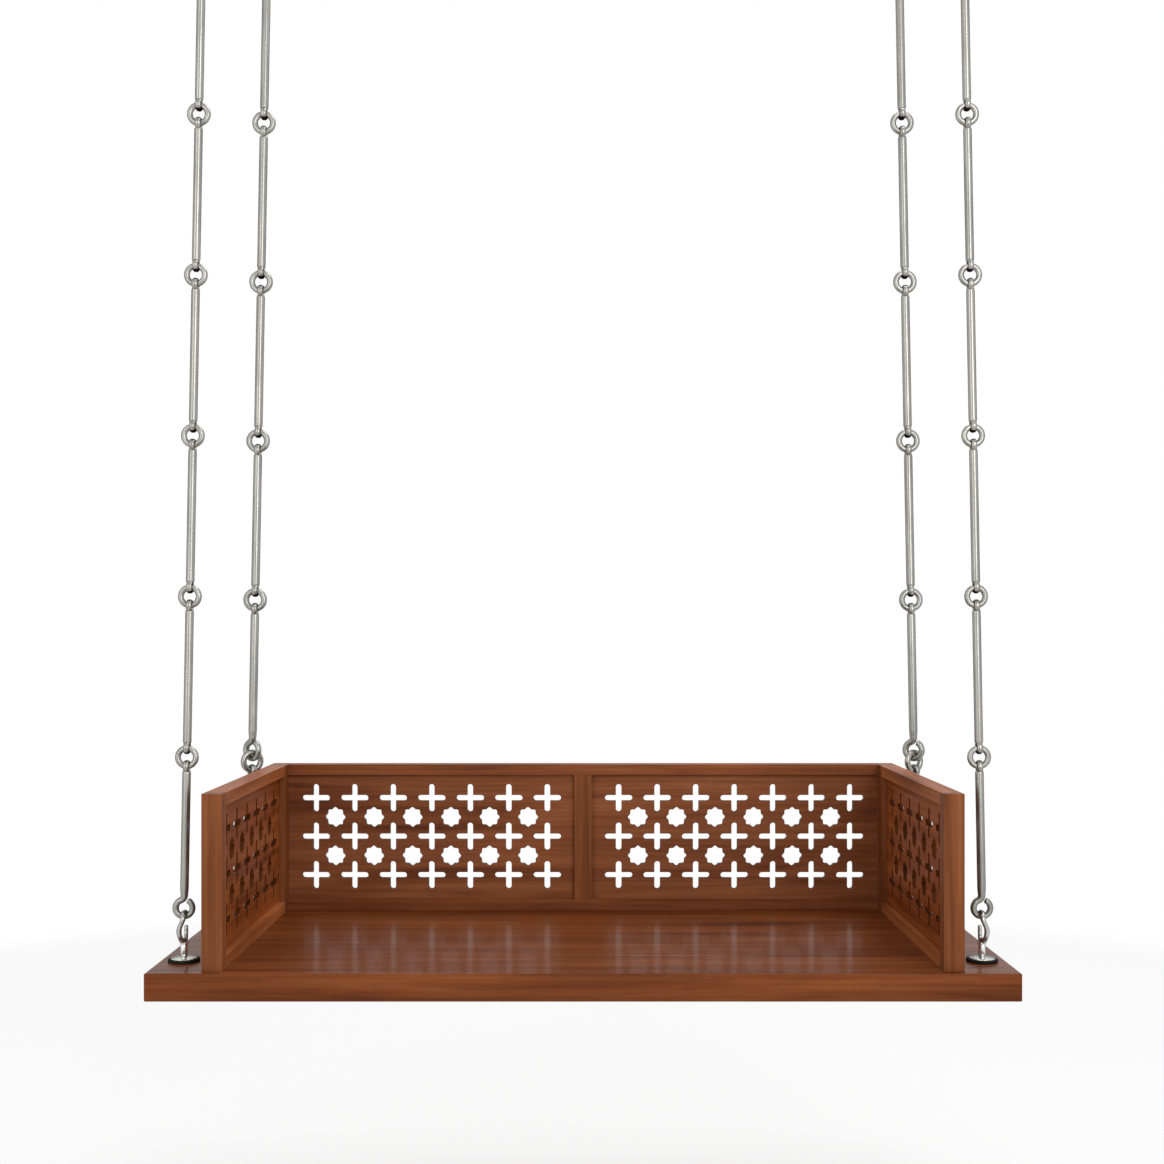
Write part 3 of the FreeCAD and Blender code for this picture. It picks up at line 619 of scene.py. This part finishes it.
class Stock:
    """The link sizes of a chain, as a share of the front chains' links."""

    def __init__(self, share):
        self.share = share
        self.rod_radius = share * ROD_RADIUS
        self.shoulder = share * ROD_SHOULDER
        self.ring_wire_radius = share * RING_WIRE_RADIUS
        self.ring_radius = share * RING_OUTER_RADIUS - self.ring_wire_radius
        self.eye_wire_radius = share * ROD_EYE_WIRE_RADIUS
        self.eye_radius = self.ring_wire_radius + share * ROD_EYE_ROOM + self.eye_wire_radius
        reach = self.ring_wire_radius + self.eye_wire_radius + LINK_GAP
        self.eye_offset = self.ring_radius + self.eye_radius - reach


def link(shell, radius, wire_radius, normal, matrix=None, spread=1, part=None):
    """A link about the origin, its plane given by its normal: all of it, or only its upper or lower part."""
    across = ACROSS if normal == BACKWARD else BACKWARD
    points = []
    for step in LINK_PARTS[part]:
        angle = math.radians(360 * step / LINK_STEPS)
        points.append((across * math.cos(angle) + UP * math.sin(angle)) * radius)
    shell.tube(points, [wire_radius] * len(points), normal, closed=not part, spread=spread, matrix=matrix)


def loop_path(share):
    """An open loop's middle line from the rod's axis to its tip, about the loop's middle."""
    radius = share * LOOP_RADIUS
    bend = share * LOOP_BEND
    height = math.sqrt(radius ** 2 + 2 * radius * bend)
    meeting = math.degrees(math.atan2(height, -bend))
    points = arc(Vector((-bend, 0, height)), bend, 0, meeting - 180)
    last = len(points) - 1
    radii = [LOOP_NECK_WIRE_RADIUS - LOOP_NECK_TAPER * step / last for step in range(last + 1)]
    swept = arc(Vector(), radius, meeting, 360 + LOOP_TIP_ANGLE)[1:]
    for step in range(len(swept)):
        degrees = meeting + (360 + LOOP_TIP_ANGLE - meeting) * (step + 1) / len(swept)
        from_far = min(1, abs(degrees - 270) / 90)
        swell = LOOP_SWELL_BEFORE if degrees < 270 else LOOP_SWELL_AFTER
        radii.append(LOOP_WIRE_RADIUS + swell * from_far)
    return points + swept, [share * value for value in radii]


def rod_end(stock, loop_share):
    """The lower end of a rod as points and radii, from the shaft down to its tip."""
    if not loop_share:
        weld = stock.eye_offset + stock.eye_radius
        points = [Vector((0, 0, weld + stock.share * height * MM)) for radius, height in BLUNT_END]
        return points, [stock.share * radius * MM for radius, height in BLUNT_END]
    tip, tip_radii = loop_path(loop_share)
    extra, extra_radii = round_tip(tip, tip_radii[-1])
    tip += extra
    tip_radii += extra_radii
    top = tip[0].z + stock.shoulder
    points = []
    radii = []
    for step in range(ROD_SHOULDER_STEPS):
        share = step / ROD_SHOULDER_STEPS
        points.append(Vector((0, 0, top - share * stock.shoulder)))
        eased = (1 - math.cos(math.pi * share)) / 2
        radii.append(stock.rod_radius + (tip_radii[0] - stock.rod_radius) * eased)
    return points + tip, radii + tip_radii


def rod_shells(stock, length, low_loop=0, high_loop=0, turn=0, eye_turn=0):
    """A rod between two links whose middles are length apart, the lower one at the origin.

    The lowest part of its lower eye is a shell of its own, for a nearly black steel painted there as shade.
    """
    low, low_radii = rod_end(stock, low_loop)
    high, high_radii = rod_end(stock, high_loop)
    high = [Vector((point.x, 0, length - point.z)) for point in high]
    shell = Shell()
    turned = Matrix.Rotation(math.radians(turn), 4, "Z")
    shell.tube(low[::-1] + high, low_radii[::-1] + high_radii, BACKWARD, matrix=turned)
    eye = (stock.eye_radius, stock.eye_wire_radius, ACROSS)
    eye_turned = Matrix.Rotation(math.radians(eye_turn), 4, "Z")
    shaded_eye = None
    if not low_loop:
        placed = Matrix.Translation((0, 0, stock.eye_offset)) @ eye_turned
        link(shell, *eye, placed, ROD_EYE_SPREAD, "upper")
        # The lowest part of the lower eye is a separate shell for the nearly black steel painted as shade
        shaded_eye = Shell()
        link(shaded_eye, *eye, placed, ROD_EYE_SPREAD, "lower")
    if not high_loop:
        placed = Matrix.Translation((0, 0, length - stock.eye_offset)) @ eye_turned
        link(shell, *eye, placed, ROD_EYE_SPREAD)
    return shell, shaded_eye


def joint_point(name):
    return Vector(JOINTS[name]["pos_m"])


class Chain:
    """A chain's stations along its axis, with its lowest loop's middle at the origin."""

    def __init__(self, end, side, share):
        self.name = end + "_" + side
        self.stock = Stock(share)
        top = joint_point(self.name + "_swing") - UP * LOOP_RADIUS
        low = joint_point("seat_level") + UP * LOOP_RADIUS
        low.x = SIDES[side] * abs(low.x)
        low.y = ENDS[end] * abs(low.y)
        axis = (top - low).normalized()
        across = BACKWARD.cross(axis)
        self.length = (top - low).length
        self.matrix = Matrix.Translation(low) @ Matrix((across, BACKWARD, axis)).transposed().to_4x4()
        rings = [joint_point("%s_ring_%d_turn" % (self.name, number)) for number in RING_NUMBERS]
        self.rings = [(point - low).dot(axis) for point in rings]

    def place(self, z):
        return self.matrix @ Matrix.Translation((0, 0, z))

    def ring(self, number, turn=0):
        node = "%s_ring_%d" % (self.name, number)
        shell = Shell()
        turned = self.place(self.rings[number - 1]) @ Matrix.Rotation(math.radians(turn), 4, "Z")
        link(shell, self.stock.ring_radius, self.stock.ring_wire_radius, BACKWARD, turned)
        build(node + "_round", shell, CHAIN_STEEL, node, [node])

    def rod(self, node, suffix, z, shells):
        full = "%s_%s" % (self.name, node)
        # A rod's lower eye has its lowest part in nearly black steel, as painted shade
        for shell, name, material in zip(shells, ("round", "shaded_eye"), (CHAIN_STEEL, EYE_SHADE_STEEL)):
            if shell:
                placed = Shell()
                placed.add(shell.verts, shell.faces, self.place(z))
                piece = "%s_%s%s" % (full, name, suffix)
                build(piece, placed, material, self.name + "_chain", [full])

    def middle_and_top_rods(self, middle_count):
        """The middle rods, from the highest down, and the top rod."""
        for index in range(1, middle_count + 1):
            above, below = self.rings[index - 1:index + 1]
            self.rod("middle_rods", "_%d" % index, below, rod_shells(self.stock, above - below))
        above = self.rings[0]
        self.rod("top_rod", "", above, rod_shells(self.stock, self.length - above, high_loop=1))


def front_chain(side):
    """Its rods meet every ring with a closed eye."""
    chain = Chain("front", side, 1)
    for number in RING_NUMBERS:
        chain.ring(number)
    chain.rod("end_rod", "", 0, rod_shells(chain.stock, chain.rings[4], low_loop=1))
    chain.middle_and_top_rods(4)


def rear_chain(side):
    """Its lowest ring hangs in an open loop of the rod above."""
    chain = Chain("rear", side, REAR_SHARE)
    stock = chain.stock
    rings = chain.rings
    *upper_rings, low_ring = RING_NUMBERS
    for number in upper_rings:
        chain.ring(number)
    chain.ring(low_ring, LOW_RING_TURN)
    hang = stock.share * LOOP_RADIUS + stock.ring_radius
    hang -= stock.share * LOOP_WIRE_RADIUS + stock.ring_wire_radius + HOOK_LINK_GAP
    hook_middle = rings[4] + hang
    chain.rod("end_rod", "", 0, rod_shells(stock, rings[4], low_loop=1, eye_turn=LOW_EYE_TURN))
    hook = rod_shells(stock, rings[3] - hook_middle, low_loop=stock.share, turn=HOOK_LOOP_TURN)
    chain.rod("hook_rod", "", hook_middle, hook)
    chain.middle_and_top_rods(3)


for side in SIDES:
    front_chain(side)
    rear_chain(side)


# Seat fittings

SEAT_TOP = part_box("rubber_pads")[0].z
SEAT_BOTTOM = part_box("washers")[1].z
PAD_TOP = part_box("rubber_pads")[1].z
DISC_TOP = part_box("domed_discs")[1].z
SPACER_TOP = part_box("spacers")[1].z
WASHER_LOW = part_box("washers")[0].z
NUT_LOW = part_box("nuts")[0].z
THREAD_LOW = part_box("left_seat_hooks")[0].z
HOOK_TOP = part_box("left_seat_hooks")[1].z
HOOK_WIRE_RADIUS = 4.5 * MM
HOOK_TIP_WIRE_RADIUS = 3.15 * MM
HOOK_END_WIRE_RADIUS = 3.5 * MM
HOOK_RADIUS = 16 * MM
HOOK_LENGTH = 61.3 * MM
HOOK_TURN = 9
HOOK_TIP_ANGLE = 15
HOOK_MOUTH = 17 * MM
# A seat hook's bar is this much stouter down its front. It thickens from a start angle on, within a sweep.
HOOK_SWELL = 0.3 * MM
HOOK_SWELL_START = 95
HOOK_SWELL_SWEEP = 60
HOOK_FRONT_STEPS = 8
# How far it sways down its front, in mm, against its share of the way from the crown to the foot
HOOK_FRONT_SWAY = ((0, 0.6), (0.16, 4.7), (0.6, -2.7), (1.001, 0))
HOOK_UPPER_END_SWAY = 0.6 * MM
HOOK_LOWER_END_SWAY = -3 * MM
HOOK_PITCH = 1.5 * MM
COLLAR_RADIUS = 8 * MM
COLLAR_HEIGHT = 5 * MM
COLLAR_SOFTENING = 0.8 * MM
COLLAR_TOP_SHARE = 0.62
COLLAR_PEAK = 3 * MM
COLLAR_POINT_RADIUS = 0.5 * MM
SHANK_RADIUS = 4.5 * MM
PLAIN_SHANK_RADIUS = 0.97 * SHANK_RADIUS
# The plain shank starts this far above the nut's lower face
PLAIN_SHANK_START = 8 * MM
PAD_RADIUS = 28.5 * MM
PAD_SOFTENING = 0.8 * MM
DISC_RADIUS = 23.5 * MM
DISC_RIM = 1.5 * MM
DISC_FLAT_RADIUS = 1.5 * SHANK_RADIUS
# The dome is drawn between these shares of the disc's radius
DISC_DOME_START = 0.4
DISC_DOME_END = 0.98
DISC_DOME_STEPS = 11
DISC_RIM_SHARES = (0.8, 0.2)
DISC_FOOT_SHARE = 0.985
SPACER_RADIUS = 6.25 * MM
SPACER_SOFTENING = 0.5 * MM
WASHER_RADIUS = 15 * MM
WASHER_SOFTENING = 0.4 * MM
NUT_ACROSS = 16 * MM
NUT_BORE_SHARE = 0.93
# The middle of a softened edge stands in by this share of the softening
SOFT_MIDDLE_SHARE = 0.3

hook_pivot = joint_point("seat_level")
CORNERS = {
    (side, end): (SIDES[side] * abs(hook_pivot.x), ENDS[end] * abs(hook_pivot.y))
    for side in SIDES for end in ENDS
}


def flat_profile(radius, low, high, soft):
    """A flat disc bored for the shank, with softened outer edges, as radius and height."""
    middle = SOFT_MIDDLE_SHARE * soft
    return [
        (SHANK_RADIUS, low), (SHANK_RADIUS, high),
        (radius - soft, high), (radius - middle, high - middle), (radius, high - soft),
        (radius, low + soft), (radius - middle, low + middle), (radius - soft, low),
    ]


def dome_profile():
    """The domed disc, flat about its bore, as radius and height."""
    dome = DISC_TOP - PAD_TOP - DISC_RIM
    profile = [(SHANK_RADIUS, PAD_TOP), (SHANK_RADIUS, DISC_TOP), (DISC_FLAT_RADIUS, DISC_TOP)]
    for step in range(DISC_DOME_STEPS + 1):
        share = DISC_DOME_START + (DISC_DOME_END - DISC_DOME_START) * step / DISC_DOME_STEPS
        fall = (share ** 2 - DISC_DOME_START ** 2) / (1 - DISC_DOME_START ** 2)
        profile.append((share * DISC_RADIUS, DISC_TOP - dome * fall))
    profile += [(DISC_RADIUS, PAD_TOP + share * DISC_RIM) for share in DISC_RIM_SHARES]
    return profile + [(DISC_FOOT_SHARE * DISC_RADIUS, PAD_TOP)]


def hook_sway(point, crown, foot):
    """How far a seat hook's bar stands inward of its plane at a point of its middle line."""
    if point.x > 0:
        if point.z > (2 * crown + foot) / 3:
            return HOOK_UPPER_END_SWAY
        return HOOK_LOWER_END_SWAY * (point.x / HOOK_RADIUS) ** 2
    share = (crown - point.z) / (crown - foot)
    for (start, before), (end, after) in zip(HOOK_FRONT_SWAY, HOOK_FRONT_SWAY[1:]):
        if share <= end:
            eased = (1 - math.cos(math.pi * (share - start) / (end - start))) / 2
            return (before + (after - before) * eased) * MM


def hook_shells(side, x, y):
    """The bent bar of a seat hook, and the bolt with the collar that it stands on."""
    wire = HOOK_WIRE_RADIUS
    stout = wire + HOOK_SWELL
    slender = HOOK_TIP_WIRE_RADIUS
    collar_top = SPACER_TOP + COLLAR_HEIGHT
    low = Vector((0, 0, HOOK_TOP - HOOK_LENGTH + wire + HOOK_RADIUS))
    high = Vector((0, 0, HOOK_TOP - slender - HOOK_RADIUS))
    oval = arc(high, HOOK_RADIUS, HOOK_TIP_ANGLE, 180)
    oval_radii = []
    for step in range(len(oval)):
        degrees = HOOK_TIP_ANGLE + (180 - HOOK_TIP_ANGLE) * step / (len(oval) - 1)
        share = max(0, min(1, (degrees - HOOK_SWELL_START) / HOOK_SWELL_SWEEP))
        oval_radii.append(slender + (stout - slender) * share)
    tip_z = oval[0].z
    for step in range(1, HOOK_FRONT_STEPS):
        oval.append(high.lerp(low, step / HOOK_FRONT_STEPS) - Vector((HOOK_RADIUS, 0, 0)))
        oval_radii.append(stout)
    under = arc(low, HOOK_RADIUS, 180, 360)
    oval += under
    for step in range(len(under)):
        oval_radii.append(wire - (wire - HOOK_END_WIRE_RADIUS) * max(0, 2 * step / (len(under) - 1) - 1))
    oval.append(Vector((HOOK_RADIUS, 0, tip_z - HOOK_MOUTH)))
    oval_radii.append(HOOK_END_WIRE_RADIUS)
    crown = high.z + HOOK_RADIUS
    foot = low.z - HOOK_RADIUS
    for point in oval:
        point.y = SIDES[side] * hook_sway(point, crown, foot)
    ahead, ahead_radii = round_tip(oval[::-1], slender)
    behind, behind_radii = round_tip(oval, HOOK_END_WIRE_RADIUS)
    points = ahead[::-1] + oval + behind
    radii = ahead_radii[::-1] + oval_radii + behind_radii
    facing = math.radians(90 + SIDES[side] * HOOK_TURN)
    bent = Shell()
    bent.tube(
        points, radii, BACKWARD, matrix=Matrix.Translation((x, y, 0)) @ Matrix.Rotation(facing, 4, "Z")
    )
    bolt = Shell()
    soft = COLLAR_SOFTENING
    bolt.lathe([
        (COLLAR_POINT_RADIUS, SPACER_TOP),
        (COLLAR_RADIUS - soft, SPACER_TOP), (COLLAR_RADIUS, SPACER_TOP + soft),
        (COLLAR_RADIUS, collar_top - soft), (COLLAR_RADIUS - soft, collar_top),
        (COLLAR_TOP_SHARE * COLLAR_RADIUS, collar_top), (COLLAR_POINT_RADIUS, collar_top + COLLAR_PEAK),
    ], x, y, closed=False)
    plain_low = NUT_LOW + PLAIN_SHANK_START
    plain = [(PLAIN_SHANK_RADIUS, plain_low), (PLAIN_SHANK_RADIUS, SPACER_TOP)]
    bolt.lathe(plain, x, y, sides=32, closed=False)
    thread(bolt, x, y, THREAD_LOW, plain_low + HOOK_PITCH, SHANK_RADIUS, HOOK_PITCH)
    return bent, bolt


def seat_fittings():
    """The hook, bolt, pad, disc, spacer, washer and nut at each corner of the seat."""
    turned = {
        "pad": (flat_profile(PAD_RADIUS, SEAT_TOP, PAD_TOP, PAD_SOFTENING), "rubber_pads"),
        "disc": (dome_profile(), "domed_discs"),
        "spacer": (flat_profile(SPACER_RADIUS, DISC_TOP, SPACER_TOP, SPACER_SOFTENING), "spacers"),
        "washer": (flat_profile(WASHER_RADIUS, WASHER_LOW, SEAT_BOTTOM, WASHER_SOFTENING), "washers"),
    }
    for side in SIDES:
        for end in ENDS:
            x, y = CORNERS[side, end]
            name = "%s_%s_" % (end, side)
            bent, bolt = hook_shells(side, x, y)
            build(name + "hook", bent, HOOK_STEEL, "seat", [side + "_seat_hooks"])
            build(name + "bolt", bolt, BRIGHT_STEEL, "seat", [side + "_seat_hooks"])
            for piece, (profile, node) in turned.items():
                shell = Shell()
                shell.lathe(profile, x, y)
                if piece == "pad":
                    build(name + piece, shell, PAD_RUBBER, "seat", [node])
                else:
                    build(name + piece, shell, BRIGHT_STEEL, "seat", [node])
            nut = Shell()
            hexagon(nut, x, y, NUT_LOW, WASHER_LOW, NUT_ACROSS, NUT_BORE_SHARE * SHANK_RADIUS)
            build(name + "nut", nut, BRIGHT_STEEL, "seat", ["nuts"], sharp=20)


seat_fittings()


# Screws under the board

SCREW_HEAD_ACROSS = 8.6 * MM
SCREW_HEAD_HEIGHT = 4 * MM
SCREW_HEAD_MIDDLE_RADIUS = 0.3 * MM
SCREW_SHANK_RADIUS = 2.5 * MM
SCREW_POINT_LENGTH = 4 * MM
SCREW_POINT_RADIUS = 0.4 * MM
SCREW_BITE = 12 * MM
SCREW_END_MARGIN = 90 * MM


def seat_screws():
    """Hexagon-headed screws, at the same places as in the model."""
    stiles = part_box("left_arm_stiles")
    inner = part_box("right_arm_stiles")[0].x
    arm_x = (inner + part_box("right_arm_stiles")[1].x) / 2
    back_y = (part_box("back_end_stiles")[0].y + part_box("back_end_stiles")[1].y) / 2
    arm_ys = (stiles[0].y + SCREW_END_MARGIN, stiles[1].y - SCREW_END_MARGIN)
    back_xs = (inner - SCREW_END_MARGIN, SCREW_END_MARGIN)
    places = [(sign * arm_x, y) for sign in (-1, 1) for y in arm_ys]
    places += [(sign * x, back_y) for sign in (-1, 1) for x in back_xs]
    head = SEAT_BOTTOM - SCREW_HEAD_HEIGHT
    top = SEAT_TOP + SCREW_BITE
    shank = [
        (SCREW_SHANK_RADIUS, SEAT_BOTTOM), (SCREW_SHANK_RADIUS, top - SCREW_POINT_LENGTH),
        (SCREW_POINT_RADIUS, top),
    ]
    for index, (x, y) in enumerate(places, start=1):
        screw = Shell()
        hexagon(screw, x, y, head, SEAT_BOTTOM, SCREW_HEAD_ACROSS, SCREW_HEAD_MIDDLE_RADIUS)
        screw.lathe(shank, x, y, sides=24, closed=False)
        build("seat_screw_%d" % index, screw, SCREW_STEEL, "seat", ["seat_screws"], sharp=20)


seat_screws()


# Ceiling fittings

EYE_RADIUS = 16 * MM
EYE_WIRE_RADIUS = 5 * MM
SHOULDER_RADIUS = 10 * MM
FLANGE_RADIUS = 32 * MM
STUD_RADIUS = 6 * MM
STUD_PITCH = 1.75 * MM
EYE_NECK = 3 * MM
EYE_SHOULDER = 3 * MM
SHOULDER_SOFTENING = 0.6 * MM
STUD_FLARE = 1 * MM
STUD_FLARE_HEIGHT = 0.5 * MM
FLANGE_BORE_RADIUS = STUD_RADIUS + 0.3 * MM
# The flange's rounded lower edge, in mm: how far in from the rim and how high above the face
FLANGE_EDGE = ((0, 2.2), (0.5, 1.4), (2, 0.5), (5, 0))


def ceiling_fittings():
    """The eye bolt with its stud and the flange over each chain."""
    soft = SHOULDER_SOFTENING
    flange_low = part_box("ceiling_flanges")[0].z
    stud_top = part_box("ceiling_eyes")[1].z
    eye_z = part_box("ceiling_eyes")[0].z + EYE_RADIUS + EYE_WIRE_RADIUS
    for side in SIDES:
        for end in ENDS:
            point = joint_point("%s_%s_swing" % (end, side))
            x, y = point.x, point.y
            name = "%s_%s_ceiling_" % (end, side)
            eye = Shell()
            link(eye, EYE_RADIUS, EYE_WIRE_RADIUS, ACROSS, Matrix.Translation((x, y, eye_z)))
            neck_low = eye_z + EYE_RADIUS
            shoulder_low = flange_low - EYE_SHOULDER
            eye.lathe([
                (EYE_NECK, neck_low), (STUD_RADIUS, neck_low + EYE_NECK),
                (STUD_RADIUS, shoulder_low - STUD_FLARE_HEIGHT), (STUD_RADIUS + STUD_FLARE, shoulder_low),
                (SHOULDER_RADIUS - soft, shoulder_low), (SHOULDER_RADIUS, shoulder_low + soft),
                (SHOULDER_RADIUS, flange_low - soft), (SHOULDER_RADIUS - soft, flange_low),
                (STUD_RADIUS, flange_low), (STUD_RADIUS, 0),
            ], x, y, sides=48, closed=False)
            thread(eye, x, y, -STUD_PITCH, stud_top, STUD_RADIUS, STUD_PITCH)
            build(name + "eye", eye, HOOK_STEEL, "ceiling", ["ceiling_eyes"])

            flange = Shell()
            edge = [(FLANGE_RADIUS - inward * MM, flange_low + above * MM) for inward, above in FLANGE_EDGE]
            top = [(FLANGE_BORE_RADIUS, flange_low), (FLANGE_BORE_RADIUS, 0), (FLANGE_RADIUS, 0)]
            flange.lathe(top + edge, x, y)
            build(name + "flange", flange, HOOK_STEEL, "ceiling", ["ceiling_flanges"])


ceiling_fittings()


# Stage: floor, world, lamps and camera

FLOOR_HALF_SIZE = 4.5
FLOOR_BELOW_SEAT = 0.55
FLOOR_CLEAR_RADIUS = 1.7
FLOOR_FADE_RADIUS = 3.4
FLOOR_WHITENING = 0.78


def floor():
    """A plain pale floor that fades into the background away from the swing and is clear from below."""
    mesh = bpy.data.meshes.new("floor")
    half = FLOOR_HALF_SIZE
    z = SEAT_TOP - FLOOR_BELOW_SEAT
    corners = [(-half, -half, z), (half, -half, z), (half, half, z), (-half, half, z)]
    mesh.from_pydata(corners, [], [(0, 1, 2, 3)])
    obj = bpy.data.objects.new("floor", mesh)
    bpy.context.scene.collection.objects.link(obj)
    graph = Graph("floor")
    coords = graph.add("TexCoord").outputs["Object"]
    flat = graph.add("Mapping", Vector=coords, Scale=(1, 1, 0)).outputs[0]
    distance = graph.add("VectorMath", {"operation": "LENGTH"}, Vector=flat).outputs["Value"]
    fade = graph.remap(distance, FLOOR_CLEAR_RADIUS, FLOOR_FADE_RADIUS)
    path = graph.add("LightPath").outputs
    seen = graph.math("MAXIMUM", path["Is Camera Ray"], path["Is Glossy Ray"])
    seen = graph.math("MAXIMUM", seen, path["Is Transmission Ray"])
    fade = graph.math("MAXIMUM", fade, graph.math("MULTIPLY", seen, FLOOR_WHITENING))
    fade = graph.math("MAXIMUM", fade, graph.add("NewGeometry").outputs["Backfacing"])
    graph.set(Base_Color=(0.93, 0.93, 0.93, 1), Roughness=0.9, Specular_IOR_Level=0.1)
    clear = graph.add("BsdfTransparent")
    mixed = graph.add("MixShader", Fac=fade)
    graph.put(mixed.inputs[1], graph.shader.outputs[0])
    graph.put(mixed.inputs[2], clear.outputs[0])
    graph.put(graph.tree.nodes["Material Output"].inputs["Surface"], mixed.outputs[0])
    mesh.materials.append(graph.material)


AMBIENT = 0.62


def world():
    """White to the camera and in reflections and glass, a softer light on surfaces."""
    made = bpy.data.worlds.new("studio")
    bpy.context.scene.world = made
    made.use_nodes = True
    tree = made.node_tree
    background = tree.nodes["Background"]
    background.inputs["Color"].default_value = (1, 1, 1, 1)
    path = tree.nodes.new("ShaderNodeLightPath")
    seen = path.outputs["Is Camera Ray"]
    for other in ("Is Glossy Ray", "Is Transmission Ray"):
        either = tree.nodes.new("ShaderNodeMath")
        either.operation = "MAXIMUM"
        tree.links.new(seen, either.inputs[0])
        tree.links.new(path.outputs[other], either.inputs[1])
        seen = either.outputs[0]
    level = tree.nodes.new("ShaderNodeMapRange")
    level.inputs["To Min"].default_value = AMBIENT
    tree.links.new(seen, level.inputs["Value"])
    tree.links.new(level.outputs[0], background.inputs["Strength"])


def lamp(name, place, target, power, width, height):
    """A rectangular lamp that faces a target."""
    light = bpy.data.lights.new(name, "AREA")
    light.shape = "RECTANGLE"
    light.energy = power
    light.size = width
    light.size_y = height
    obj = bpy.data.objects.new(name, light)
    bpy.context.scene.collection.objects.link(obj)
    obj.location = place
    obj.rotation_euler = (Vector(target) - Vector(place)).to_track_quat("-Z", "Y").to_euler()


floor()
world()
lamp("key", place=(1.8, -4.2, -0.2), target=(0, 0, -1.6), power=88, width=1.5, height=3.4)
lamp("fill", place=(-2.6, -3.6, -0.5), target=(0, 0, -1.6), power=38, width=1.6, height=3.4)
lamp("top", place=(0.8, 0.5, 1.6), target=(0, 0, -2.0), power=45, width=2.0, height=1.6)

# The photograph's camera: level, facing the swing squarely
PHOTO_PIXELS = 1164
FOCAL_PIXELS = 1500
HORIZON_PIXEL = 632
MIDDLE_SHIFT_PIXELS = 1
SENSOR = 36
ARM_FRONT_DISTANCE = 2.628
EYE_ABOVE_SEAT = 0.5957

camera = bpy.data.cameras.new("camera")
camera.sensor_width = SENSOR
camera.lens = SENSOR * FOCAL_PIXELS / PHOTO_PIXELS
camera.shift_x = -MIDDLE_SHIFT_PIXELS / PHOTO_PIXELS
camera.shift_y = (HORIZON_PIXEL - PHOTO_PIXELS / 2) / PHOTO_PIXELS
viewer = bpy.data.objects.new("camera", camera)
bpy.context.scene.collection.objects.link(viewer)
viewer.location = (0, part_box("left_arm_stiles")[0].y - ARM_FRONT_DISTANCE, SEAT_TOP + EYE_ABOVE_SEAT)
viewer.rotation_euler = (math.radians(90), 0, 0)
bpy.context.scene.camera = viewer
bpy.context.scene.view_settings.view_transform = "Standard"
